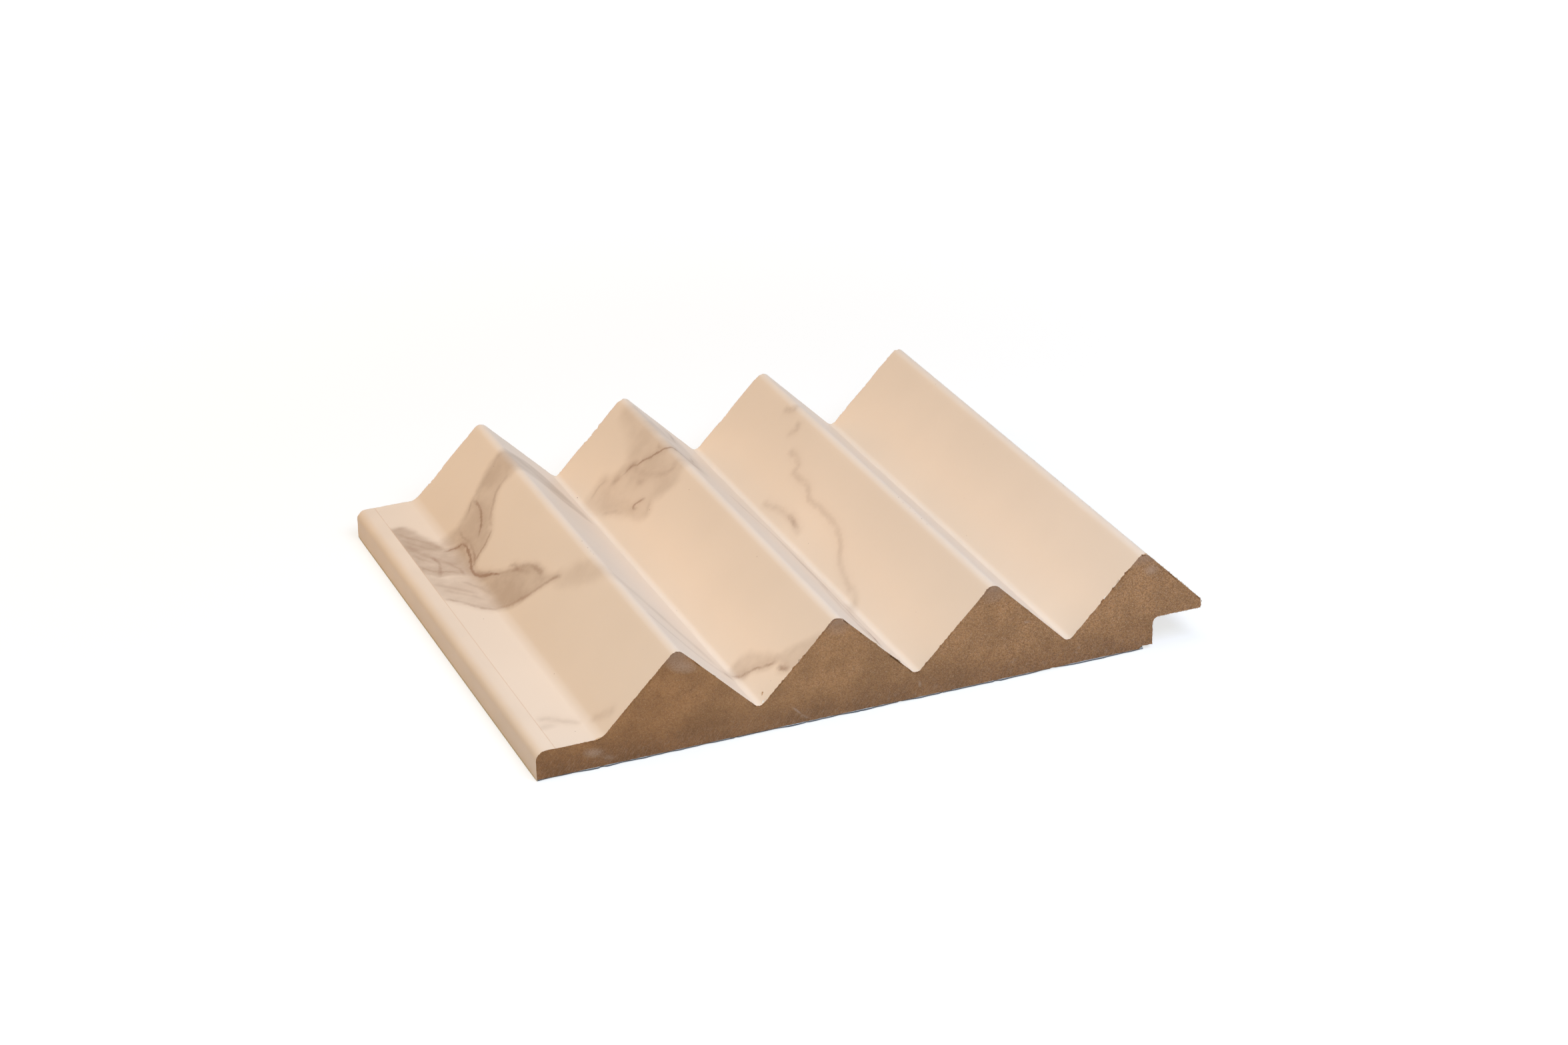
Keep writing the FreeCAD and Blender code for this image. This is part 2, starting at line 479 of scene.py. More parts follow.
def film_shell(line):
    """A closed film of even thickness along a line of corners, with a fine grid on its face."""
    bm = bmesh.new()
    trace(bm, line)
    divide(bm, bm.edges[:], FILM_STEP)
    draw_out(bm, bmesh.ops.extrude_edge_only(bm, edges=bm.edges[:])["geom"])
    bm.normal_update()
    inner = set(bm.verts)
    bmesh.ops.solidify(bm, geom=bm.faces[:], thickness=-FILM)
    bmesh.ops.recalc_face_normals(bm, faces=bm.faces[:])
    along = [edge for edge in bm.edges if runs_along(edge) and not inner & set(edge.verts)]
    divide(bm, along, FILM_STEP)
    near = [
        edge for edge in bm.edges
        if runs_along(edge) and edge.calc_length() < 2 * FILM_STEP
        and from_sawn_end(edge) < FILM_STEP / 2
    ]
    divide(bm, near, END_STEP)
    return bm


def finish_film(name, bm, chips, material, replaced):
    """Tears a film's sawn ends and makes a piece of it. The core's finish is there already."""
    tear_ends(bm, chips)
    # Each face of more than four sides is fanned out from its middle, so that none turns out flat.
    bmesh.ops.poke(bm, faces=[face for face in bm.faces if len(face.verts) > 4])
    return finish_piece(
        name, bm, material, replaced, others=[bpy.data.materials["sawn_board"]])


# The marble print, as it runs over the unrolled film

Stroke = namedtuple("Stroke", "width dark points")
Patch = namedtuple("Patch", "depth edge points")
# Each vein: its half width in millimetres, its darkness, and points (x from the core's left
# edge, y from the near end) in millimetres.
VEINS = (
    # The dark vein on the tongue and the first ridge
    Stroke(0.2, 0.95, (
        (9.4, 80.3), (9.9, 80), (10.9, 79.9), (11.9, 79.2), (12.6, 78.6), (12.8, 77), (12.7, 75),
        (12.4, 73.3), (12, 71.6), (11.6, 70.2), (11.45, 68.7), (11.7, 67), (12.2, 65.4),
        (12.9, 64.2), (13.7, 62), (14.4, 60.6))),
    Stroke(0.5, 0.5, ((11.3, 79.6), (12.2, 79.1), (12.8, 78), (12.8, 76.5))),
    Stroke(0.45, 0.45, ((11.5, 69), (11.7, 67), (12.4, 65.2), (13.4, 63))),
    Stroke(0.34, 0.44, (
        (13.9, 61.5), (15.2, 59), (16.6, 57), (17.5, 55.4), (18.3, 52.6), (18.4, 50.2),
        (18.3, 48.6))),
    Stroke(0.3, 0.35, ((15.4, 60.6), (16.4, 58.8), (16.2, 56.8), (17, 54.6), (17.2, 52.4))),
    Stroke(0.3, 0.45, (
        (3.2, 61.3), (4.9, 59.6), (6.6, 57.4), (8.3, 55.2), (10.1, 53.3), (11.6, 52.6), (13.2, 50.5),
        (15.5, 48.4), (17.1, 47), (17.9, 46.4), (19.1, 45.5), (19.8, 44.5), (20.3, 43.5))),
    Stroke(0.24, 0.5, ((18.6, 45.8), (19.2, 45.4), (19.8, 44.5))),
    Stroke(0.2, 0.5, ((15.6, 84.1), (16.4, 85), (17.3, 86.3), (17.9, 86.2))),
    Stroke(0.2, 0.72, (
        (17.2, 86.4), (17.6, 84.7), (17.5, 82.4), (17.1, 80), (16.4, 78.1), (15.4, 76.5),
        (14.6, 75.6))),
    Stroke(0.2, 0.5, ((13.6, 77), (13.4, 74.5), (12.8, 72), (12.1, 70.2))),
    Stroke(0.22, 0.5, (
        (12.2, 70.3), (12.9, 71.3), (13.9, 71.8), (15, 72.2), (16, 72.9), (17.1, 74.1))),
    Stroke(0.3, 0.34, (
        (17.1, 74.1), (18, 77.3), (18.8, 78.8), (19.6, 80.3), (20.5, 81.4), (21.7, 82),
        (23.7, 82))),
    Stroke(0.2, 0.3, ((13.5, 83), (13.4, 80), (13.7, 76))),
    Stroke(0.4, 0.14, ((16.6, 85.7), (18.3, 86.9), (20.6, 88), (23, 89.2), (25.4, 90))),
    # Its streaks on the tongue
    Stroke(0.34, 0.34, ((3.4, 91.2), (5.7, 87.6), (8.1, 84), (9.7, 80.6))),
    Stroke(0.3, 0.24, ((3.5, 88.4), (5.1, 85.4), (6.6, 83.2), (8.4, 81))),
    Stroke(0.5, 0.34, ((3.6, 85.8), (4.4, 83.2), (5.4, 80.6), (7, 77.4), (9.1, 74.6), (11, 73.6))),
    Stroke(0.3, 0.26, ((3.4, 82), (4.2, 79.8), (5.4, 77.4), (6.5, 75.8))),
    Stroke(0.22, 0.5, ((6.2, 78.9), (7, 76.6), (7.1, 74.7), (6.4, 72.6), (5.5, 69.6))),
    Stroke(0.24, 0.42, ((7.8, 76.6), (8.6, 74.4), (9.6, 72.2), (9.9, 70), (9.7, 68.4))),
    Stroke(0.22, 0.36, ((3.4, 76), (4.6, 73.4), (6.1, 72), (7.6, 71.6), (9.4, 69.8))),
    Stroke(0.4, 0.24, ((3.6, 68), (5.6, 65.6), (8, 62.8), (10, 60.4))),
    Stroke(0.3, 0.22, ((4.2, 64.6), (6.2, 62.4), (8.4, 60.2), (10.6, 57))),
    Stroke(0.3, 0.26, ((8.2, 66.8), (9.6, 64.6), (11, 61.6), (11.6, 58))),
    Stroke(0.8, 0.3, ((3.6, 93.2), (6.2, 92.4))),
    # The near end of the first groove
    Stroke(0.5, 0.2, (
        (26.2, 17), (27.4, 14.6), (29.3, 12.2), (32.4, 9.6), (35.5, 9.4), (37.8, 10.4),
        (39.4, 11.2))),
    Stroke(0.24, 0.55, (
        (38.8, 12), (39.5, 11.7), (40.3, 10.8), (41, 10.2), (42, 9.3), (42.8, 8), (43.4, 7.1),
        (44.2, 5.9), (44.8, 5.3), (45, 4.5))),
    Stroke(0.7, 0.34, ((39.8, 10.6), (40.8, 9.9), (41.7, 9.2))),
    Stroke(0.8, 0.36, ((37.4, 9.6), (38.3, 11), (39.2, 11.9))),
    Stroke(0.34, 0.8, ((44.6, 4.4), (44.8, 3.1), (45.1, 2), (45.6, 0.8))),
    Stroke(0.7, 0.2, ((3.5, 11.5), (6, 10), (7, 8.9), (8.5, 7.8), (10.3, 6.3))),
    Stroke(0.8, 0.18, ((11.2, 6.6), (13.5, 4), (15, 2))),
    # The second ridge
    Stroke(0.2, 0.68, (
        (57.8, 71.8), (56.5, 73), (55.5, 74.6), (54.9, 76.4), (54.4, 78.1), (53.6, 78.5),
        (52.8, 79.2), (51.8, 80.2), (50.7, 81.3), (50, 82.3), (49.1, 82.9), (48.6, 84),
        (47.9, 84.4), (47.2, 84.5), (46.5, 84.8))),
    Stroke(0.5, 0.5, ((49.4, 82.9), (48.7, 83.9), (47.8, 84.5), (47, 84.9))),
    Stroke(0.7, 0.36, ((46.8, 84.6), (45.9, 85.2), (45.1, 85.6), (44.6, 86.6))),
    Stroke(0.3, 0.2, ((44.7, 87), (44, 88.6), (42.4, 88.8), (41, 88))),
    Stroke(0.2, 0.5, ((53.3, 82), (52.9, 81.2), (52.8, 79.8))),
    Stroke(0.5, 0.2, (
        (48.4, 83.6), (48.6, 80.6), (49.3, 77.5), (50.2, 74.4), (51.1, 72.6), (52.3, 72.2),
        (53.2, 73.6))),
    Stroke(0.6, 0.26, ((47.4, 80), (47.8, 77.6), (48, 76))),
    Stroke(0.22, 0.62, (
        (46.8, 72.6), (45.9, 73.7), (45, 74.3), (44.75, 73.7), (44.9, 72.7))),
    Stroke(0.3, 0.3, ((47.2, 71.4), (46.2, 69.8), (45.1, 68.7))),
    Stroke(0.3, 0.2, ((40.8, 81.8), (42.4, 78.6), (43.4, 75))),
    # The right flank of the second ridge and the third groove
    Stroke(0.15, 0.4, ((64.2, 50), (64.9, 40), (65.4, 32), (64.7, 24), (64.4, 18), (64, 11))),
    Stroke(0.22, 0.8, ((64.2, 12), (63.9, 8), (63.4, 4.5), (63, 2))),
    Stroke(0.28, 0.35, ((61, 99), (60.5, 95), (59.5, 91.5), (58.5, 88))),
    Stroke(0.28, 0.3, ((59.5, 82), (58.5, 79), (57.5, 76.5), (56.5, 75))),
    # The third ridge
    Stroke(0.6, 0.3, ((81, 89), (81.5, 87), (82, 85.5), (82.5, 86), (83.3, 87.5))),
    Stroke(0.5, 0.22, ((78.5, 81.8), (79.5, 81.2), (80.3, 80.2), (81, 80.8), (81.2, 82.5))),
    Stroke(0.34, 0.34, ((71.3, 64), (71.35, 61.5), (71.1, 59.5), (70.9, 57.6))),
    Stroke(0.6, 0.22, (
        (70.2, 73.5), (70.4, 71.5), (70.8, 69), (71.1, 66.5), (71.3, 64), (71.35, 61.5),
        (71.1, 59.5), (70.9, 58), (70.8, 55.5))),
    Stroke(0.55, 0.2, (
        (77.8, 78), (77.6, 74), (77, 71.5), (76, 71), (76, 66), (75.8, 64), (75.3, 62.5),
        (74.9, 61), (75, 57), (75, 53), (74.8, 50), (74.4, 47), (73.8, 44.5), (73, 42.5),
        (72.3, 41.5), (71.5, 39.4), (70.9, 36.6), (70.4, 33.4), (69.8, 30.8))),
)
# Each soft patch: its depth, the softness of its edge in millimetres, and its corners.
PATCHES = (
    # The tongue and the first ridge
    Patch(0.8, 0.8, (
        (0, 94), (3.2, 93.5), (6, 92.6), (7.6, 88), (9, 84.4), (10, 81.4), (12.3, 80.2),
        (12.8, 76), (12, 71), (11.8, 68), (10, 67), (8, 69), (5.4, 69.6), (3.2, 72), (0, 73))),
    Patch(1.0, 0.7, (
        (0, 90), (3.2, 89.4), (5.6, 86.4), (8, 83.6), (9.4, 79.6), (9, 76), (6.8, 75.6), (4.8, 76.4),
        (3.2, 78), (0, 78.6))),
    Patch(0.52, 1.0, (
        (0, 72.4), (3.2, 72), (5.4, 69.6), (8, 69), (10.6, 68.4), (11.6, 64), (11.6, 58), (11, 53.4),
        (8.3, 55.6), (6.6, 57.6), (4.9, 59.8), (3.2, 61.4), (0, 63))),
    Patch(0.82, 0.8, (
        (11.6, 68), (12.9, 64.4), (15.2, 59.2), (16.6, 57.2), (17.7, 55.4), (18.6, 52), (18.6, 48.6),
        (19.6, 45), (17.9, 46.2), (15.5, 48.2), (13.2, 50.4), (11, 53.2), (10.8, 58), (11, 63))),
    Patch(0.68, 1.1, (
        (12, 70.4), (13.4, 71.8), (15, 72.2), (17, 74), (18, 77.2), (18.8, 78.8), (20.5, 81.2),
        (22.4, 82), (25.4, 81.6), (29, 82), (32, 79), (36.4, 77), (37, 79.4), (36.6, 84), (34.4, 91),
        (32, 94.4), (29, 93.4), (26.4, 91), (23, 89.6), (20.6, 88.4), (18.3, 87), (16, 85.2),
        (13.6, 84.4), (11, 84.6), (10.4, 81.6), (12.6, 79.4), (12.9, 75))),
    Patch(0.4, 1.3, (
        (19.4, 45.6), (21.7, 43), (24.3, 39.4), (25.3, 36), (26.4, 32.6), (28.6, 29.4), (31, 25),
        (33.4, 20.4), (36, 16.4), (36, 13.6), (32.6, 18.4), (30, 23.6), (27, 28), (24.6, 32),
        (23, 34.4), (21.4, 37.4), (19.4, 42))),
    Patch(0.3, 0.8, ((3.3, 8.3), (4.4, 8.6), (5.5, 8.1), (5.4, 7.4), (4.2, 7.2), (3.3, 7.5))),
    # The near end of the second ridge
    Patch(0.5, 0.8, (
        (40.5, 14.5), (43, 13.8), (43.6, 12), (44.5, 9), (46, 5.5), (49, 2.5), (50.5, 0), (45.6, 0),
        (45, 4.5), (43.4, 7.1), (41, 10.2), (39, 12))),
    # The second ridge's patch and its shade up to the crest
    Patch(0.48, 1.2, (
        (40.5, 88.4), (42.3, 89.4), (43.8, 90), (44.8, 89.6), (45.4, 87.4), (47, 86.4), (48.6, 86.2),
        (50, 87), (54, 86), (57, 80), (58, 73), (55.5, 71), (53.5, 69.4), (51.1, 68.6),
        (49.1, 69), (47.1, 70.4), (46.1, 69.8), (45.2, 68.6), (44.5, 70), (43.3, 74.3),
        (42.4, 78.2), (41, 82.6))),
    Patch(0.42, 1.5, (
        (48.8, 86), (50.1, 90), (51.2, 94.4), (52.4, 99.6), (55, 99.6), (58, 92), (57, 84),
        (53, 83))),
    Patch(0.36, 1.4, (
        (56.4, 71), (58, 72), (60, 80), (61.5, 90), (61.5, 99), (60, 99), (58, 92),
        (56, 84))),
    # The right flank of the second ridge
    Patch(0.42, 0.9, (
        (61.6, 66), (62.5, 60), (64.4, 53), (64.9, 46), (64.4, 38), (63.9, 31), (62.9, 26),
        (62.2, 21), (61.6, 17), (61.6, 13), (61.8, 5), (63, 5), (62.8, 13), (62.8, 17), (63.4, 21),
        (64.1, 26), (65.1, 31), (65.6, 38), (66.1, 46), (65.6, 53), (63.5, 60), (62.4, 66))),
    Patch(0.36, 0.7, (
        (70.3, 31.6), (69.1, 28.9), (67.7, 27.3), (66.5, 25.3), (65.6, 22.8), (64.6, 20.8),
        (63.6, 18.3), (63.2, 14), (64.4, 17.7), (65.4, 20.2), (66.4, 22.2), (67.5, 24.7),
        (68.7, 26.7), (69.9, 28.1), (70.8, 31))),
)


def film_profile():
    """The rounded line under the marble film, from the seam to the nose: places and heights."""
    bm = bmesh.new()
    trace(bm, ridge_line())
    places = sorted((vert.co.x, vert.co.z) for vert in bm.verts)
    bm.free()
    return np.array(places).T


def unroll(x):
    """Length along the film's section from the seam to each place across it."""
    across, height = film_profile()
    run = np.concatenate([[0], np.cumsum(np.hypot(np.diff(across), np.diff(height)))])
    return np.interp(x, across, run) + np.minimum(np.asarray(x) - across[0], 0)


def on_film(points):
    """Points of the print, given in millimetres, as places on the unrolled film."""
    given = np.array(points)
    return np.column_stack([
        unroll(CORE_LOW.x + given[:, 0] * MM) / MM, given[:, 1] + NEAR_END / MM])


# How many points a smooth line gets from each given point to the next
LINE_POINTS = 7


def smooth_line(points, closed=False):
    """A smooth line through the points, with each handle along its two neighbours' chord."""
    count = len(points)
    knots = [Vector((point[0], point[1], 0)) for point in points]

    def pull(index):
        before = knots[(index - 1) % count] if closed else knots[max(index - 1, 0)]
        after = knots[(index + 1) % count] if closed else knots[min(index + 1, count - 1)]
        return (after - before) / 6

    line = []
    for index in range(count if closed else count - 1):
        following = (index + 1) % count
        piece = geometry.interpolate_bezier(
            knots[index], knots[index] + pull(index), knots[following] - pull(following),
            knots[following], LINE_POINTS)
        line += piece[:-1]
    if not closed:
        line.append(knots[-1])
    return np.array([(point.x, point.y) for point in line])


def nearest(places, line):
    """Signed distance from each place to a line, and how far along the line it lies (0 to 1)."""
    best = np.full(len(places), np.inf)
    signed = np.zeros(len(places))
    along = np.zeros(len(places))
    lengths = np.hypot(*np.diff(line, axis=0).T)
    reached = np.concatenate([[0], np.cumsum(lengths)])
    for index, (start, end) in enumerate(zip(line, line[1:])):
        way = end - start
        if lengths[index] < 1e-9:
            continue
        offset = places - start
        share = np.clip(offset @ way / lengths[index] ** 2, 0, 1)
        gap = offset - share[:, None] * way
        distance = np.hypot(gap[:, 0], gap[:, 1])
        closer = distance < best - 1e-9
        side = np.sign(way[0] * offset[:, 1] - way[1] * offset[:, 0])
        best[closer] = distance[closer]
        signed[closer] = (distance * side)[closer]
        along[closer] = ((reached[index] + share * lengths[index]) / reached[-1])[closer]
    return signed, along


# Lengths of the print, in millimetres. A vein's dark core and its halo reach so many half widths
# from its line, and so much more.
CORE_WIDTHS, CORE_MORE = 1.9, 0.12
HALO_WIDTHS, HALO_MORE, HALO_SPARE = 2.6, 1.1, 0.1
# A vein fades over this length at its ends and over this width at the edge of its reach, and is
# worked out this much further. Veins of one layer stay this far apart.
VEIN_FADE, REACH_FADE, REACH_SPARE, VEIN_ROOM = 1.5, 0.4, 0.6, 0.5
# How far inside and outside its edge a soft patch is worked out
PATCH_REACH = 6.0
# What the attributes say where none is near: a vein's distance, half width and darkness, and the
# softness of a patch's edge, which counts for next to nothing beside a patch's own
NO_VEIN = (9.0, 0.2, 0.0)
PLAIN_EDGE, FAINT = 0.6, 1e-6


def vein_reach(vein):
    """How far a vein and its halo show from its line."""
    return vein.width * HALO_WIDTHS + HALO_MORE + HALO_SPARE


def vein_layers():
    """The veins as smooth lines on the film, in layers where none comes near another."""
    layers = []
    for vein in VEINS:
        line = smooth_line(on_film(vein.points))
        for layer in layers:
            for other, near in layer:
                room = vein_reach(vein) + vein_reach(other)
                if np.hypot(*(line[:, None] - near[None]).T).min() < room + VEIN_ROOM:
                    break
            else:
                layer.append((vein, line))
                break
        else:
            layers.append([(vein, line)])
    return layers


def paint_veins(piece, places, layers):
    """Gives each layer of veins to the film as its distance, half width and darkness."""
    for number, layer in enumerate(layers):
        field = np.tile(np.array(NO_VEIN, np.float32), (len(places), 1))
        for vein, line in layer:
            reach = vein_reach(vein)
            low, high = line.min(0) - reach - REACH_SPARE, line.max(0) + reach + REACH_SPARE
            close = np.flatnonzero(((places > low) & (places < high)).all(1))
            signed, along = nearest(places[close], line)
            length = np.hypot(*np.diff(line, axis=0).T).sum()
            fade = np.clip(np.minimum(along, 1 - along) * length / VEIN_FADE, 0, 1)
            edge = np.clip((reach - abs(signed)) / REACH_FADE + 0.5, 0, 1)
            better = abs(signed) < abs(field[close, 0])
            chosen = close[better]
            field[chosen, 0] = signed[better]
            field[chosen, 1] = vein.width
            field[chosen, 2] = (vein.dark * fade * edge)[better]
        layer_of = piece.data.attributes.new(f"vein_{number}", "FLOAT_VECTOR", "POINT")
        layer_of.data.foreach_set("vector", field.ravel())


def paint_clouds(piece, places):
    """Gives the soft patches to the film as depth inside their edge, softness and strength."""
    inside = np.full(len(places), -PATCH_REACH)
    weights = np.full(len(places), FAINT)
    depth = np.zeros(len(places))
    edge = np.full(len(places), PLAIN_EDGE * FAINT)
    for patch in PATCHES:
        ring = smooth_line(on_film(patch.points), closed=True)
        closed = np.vstack([ring, ring[:1]])
        low, high = ring.min(0) - PATCH_REACH, ring.max(0) + PATCH_REACH
        close = np.flatnonzero(((places > low) & (places < high)).all(1))
        distance = abs(nearest(places[close], closed)[0])
        crossings = np.zeros(len(close), bool)
        for start, end in zip(closed, closed[1:]):
            spans = (start[1] > places[close, 1]) != (end[1] > places[close, 1])
            rise = end[1] - start[1] or 1e-12
            at = start[0] + (places[close, 1] - start[1]) / rise * (end[0] - start[0])
            crossings ^= spans & (places[close, 0] < at)
        signed = np.where(crossings, distance, -distance)
        inside[close] = np.maximum(inside[close], signed)
        weight = np.exp(np.clip(signed, -PATCH_REACH, PATCH_REACH))
        weights[close] += weight
        depth[close] += weight * patch.depth
        edge[close] += weight * patch.edge
    field = np.column_stack([inside, edge / weights, depth / weights]).astype(np.float32)
    layer_of = piece.data.attributes.new("cloud", "FLOAT_VECTOR", "POINT")
    layer_of.data.foreach_set("vector", field.ravel())


# Materials

# Linear colours of single details: on the board, on the films' rims and on the backing film
DARK_FIBRE, PALE_FIBRE = (0.19, 0.088, 0.04), (0.68, 0.44, 0.28)
# The second of these is the painted shade of pits in the board.
PALE_FLECK, PIT_SHADE = (0.6, 0.42, 0.28), (0.1, 0.05, 0.025)
SAW_STREAK, PALE_SCUFF = (0.44, 0.29, 0.21), (0.5, 0.34, 0.25)
CREST_TIP_TINT = (0.33, 0.2, 0.135)
# Painted shade: what the board's colour is multiplied by towards its underside and towards the tongue
LOW_PAINTED_SHADE, TONGUE_PAINTED_SHADE = (0.74, 0.7, 0.67), (0.93, 0.88, 0.82)
TORN_PAPER = (0.78, 0.68, 0.58)
BACKING_PAPER, BACKING_SIDE_TAN = (0.66, 0.65, 0.65), (0.6, 0.5, 0.34)


def new_material(name):
    """An empty node material with a shader wired to its output."""
    material = bpy.data.materials.new(name)
    material.use_nodes = True
    nodes = material.node_tree.nodes
    nodes.clear()
    output = nodes.new("ShaderNodeOutputMaterial")
    shader = nodes.new("ShaderNodeBsdfPrincipled")
    material.node_tree.links.new(shader.outputs["BSDF"], output.inputs["Surface"])
    return material, shader


class Wiring:
    """Adds nodes to a material or a group and links them, so that a recipe reads line by line."""

    def __init__(self, tree):
        self.tree = tree
        self.place = None

    def node(self, kind, **settings):
        """A shader node of a kind, with its own settings."""
        made = self.tree.nodes.new("ShaderNode" + kind)
        for name, value in settings.items():
            setattr(made, name, value)
        return made

    def feed(self, socket, value):
        """Links an output to a socket, or sets a plain value on it."""
        if isinstance(value, bpy.types.NodeSocket):
            self.tree.links.new(value, socket)
        else:
            socket.default_value = value

    def coordinates(self):
        """The place on the panel, in metres."""
        if self.place is None:
            self.place = self.node("TexCoord").outputs["Object"]
        return self.place

    def laid(self, size, turn=(0, 0, 0)):
        """Coordinates counted in grains of a size in millimetres, which lie turned by degrees."""
        mapping = self.node("Mapping", vector_type="TEXTURE")
        self.feed(mapping.inputs["Vector"], self.coordinates())
        mapping.inputs["Scale"].default_value = [side * MM for side in size]
        mapping.inputs["Rotation"].default_value = [math.radians(angle) for angle in turn]
        return mapping.outputs["Vector"]

    def noise(self, per_metre, detail=2.0, roughness=0.5, vector=None):
        """Soft noise of about 0 to 1 with so many grains in a metre."""
        made = self.node("TexNoise")
        self.feed(made.inputs["Vector"], vector or self.coordinates())
        made.inputs["Scale"].default_value = per_metre
        made.inputs["Detail"].default_value = detail
        made.inputs["Roughness"].default_value = roughness
        return made.outputs["Fac"]

    def math(self, operation, *values, clamp=False):
        """The result of a sum, product or other operation on the values."""
        made = self.node("Math", operation=operation, use_clamp=clamp)
        for socket, value in zip(made.inputs, values):
            self.feed(socket, value)
        return made.outputs["Value"]

    def ramp(self, value, low, high, to_low=0.0, to_high=1.0):
        """A smooth step from one value to another."""
        made = self.node("MapRange", interpolation_type="SMOOTHSTEP")
        for name, given in (("Value", value), ("From Min", low), ("From Max", high),
                            ("To Min", to_low), ("To Max", to_high)):
            self.feed(made.inputs[name], given)
        return made.outputs["Result"]

    def mix(self, share, first, second, blend="MIX"):
        """A share of the second colour over the first."""
        made = self.node("Mix", data_type="RGBA", blend_type=blend)
        for index, value in ((0, share), (6, first), (7, second)):
            if isinstance(value, (tuple, list)) and len(value) == 3:
                value = (*value, 1.0)
            self.feed(made.inputs[index], value)
        return made.outputs[2]

    def bump(self, height, distance, strength, normal=None):
        """The normal of a surface with this height, on top of another normal if one is given."""
        made = self.node("Bump")
        self.feed(made.inputs["Height"], height)
        made.inputs["Distance"].default_value = distance
        made.inputs["Strength"].default_value = strength
        if normal is not None:
            self.feed(made.inputs["Normal"], normal)
        return made.outputs["Normal"]

    def attribute(self, name, output="Vector"):
        """What the mesh says of its points under a name."""
        made = self.node("Attribute", attribute_name=name)
        return made.outputs[output]

    def split(self, vector):
        """The three parts of a vector."""
        made = self.node("SeparateXYZ")
        self.feed(made.inputs[0], vector)
        return made.outputs

    def group(self, tree, **inputs):
        """A node group in place, with its named inputs fed."""
        made = self.node("Group", node_tree=tree)
        for name, value in inputs.items():
            self.feed(made.inputs[name.capitalize()], value)
        return made.outputs


def new_group(name, inputs, outputs):
    """A shader node group with named float, vector or colour sockets."""
    tree = bpy.data.node_groups.new(name, "ShaderNodeTree")
    for title, kind in inputs:
        tree.interface.new_socket(title, in_out="INPUT", socket_type="NodeSocket" + kind)
    for title, kind in outputs:
        tree.interface.new_socket(title, in_out="OUTPUT", socket_type="NodeSocket" + kind)
    given = tree.nodes.new("NodeGroupInput")
    result = tree.nodes.new("NodeGroupOutput")
    return tree, given.outputs, result.inputs


def vein_group():
    """Turns a vein's distance, half width and darkness into a soft line with a wide halo."""
    tree, given, result = new_group(
        "vein_line", (("Field", "Vector"), ("Wobble", "Float"), ("Breaks", "Float")),
        (("Mask", "Float"),))
    wiring = Wiring(tree)
    distance, width, dark = wiring.split(given["Field"])
    off_line = wiring.math("ABSOLUTE", wiring.math("ADD", distance, given["Wobble"]))
    core_reach = wiring.math("MULTIPLY_ADD", width, CORE_WIDTHS, CORE_MORE)
    core = wiring.ramp(off_line, 0.0, core_reach, 1.0, 0.0)
    halo_reach = wiring.math("MULTIPLY_ADD", width, HALO_WIDTHS, HALO_MORE)
    halo = wiring.ramp(off_line, 0.0, halo_reach, 0.3, 0.0)
    shape = wiring.math("ADD", wiring.math("MULTIPLY", core, given["Breaks"]), halo)
    wiring.feed(result["Mask"], wiring.math("MULTIPLY", shape, dark, clamp=True))
    return tree


def film_rim_group():
    """The films' satin relief, and their torn rims: brown with pale flecks of paper."""
    if "film_rim" in bpy.data.node_groups:
        return bpy.data.node_groups["film_rim"]
    tree, given, result = new_group(
        "film_rim", (("Film", "Color"), ("Dust", "Color"), ("Torn", "Float")),
        (("Color", "Color"), ("Roughness", "Float"), ("Normal", "Vector")))
    wiring = Wiring(tree)
    ragged = wiring.math("ADD", given["Torn"], wiring.math(
        "MULTIPLY", wiring.math("SUBTRACT", wiring.noise(2500, 2.0), 0.5), 0.9))
    brown = wiring.ramp(ragged, 0.5, 0.95, 0.0, 0.8)
    flecks = wiring.ramp(wiring.noise(1900, 1.0), 0.6, 0.7, 0.0, 0.75)
    rim = wiring.mix(flecks, given["Dust"], TORN_PAPER)
    wiring.feed(result["Color"], wiring.mix(brown, given["Film"], rim))
    wiring.feed(result["Roughness"], wiring.ramp(brown, 0.0, 1.0, 0.52, 0.9))
    wiring.feed(result["Normal"], wiring.bump(wiring.noise(900, 2.0), 0.004 * MM, 0.5))
    return tree


def film_finish(wiring, shader, colour):
    """Satin gloss for a film of a colour, with its torn rims."""
    rim = wiring.group(
        film_rim_group(), film=colour, dust=(*colours().torn_edge, 1.0),
        torn=wiring.attribute("torn", "Fac"))
    wiring.feed(shader.inputs["Base Color"], rim["Color"])
    wiring.feed(shader.inputs["Roughness"], rim["Roughness"])
    wiring.feed(shader.inputs["Normal"], rim["Normal"])
    shader.inputs["Specular IOR Level"].default_value = 0.3


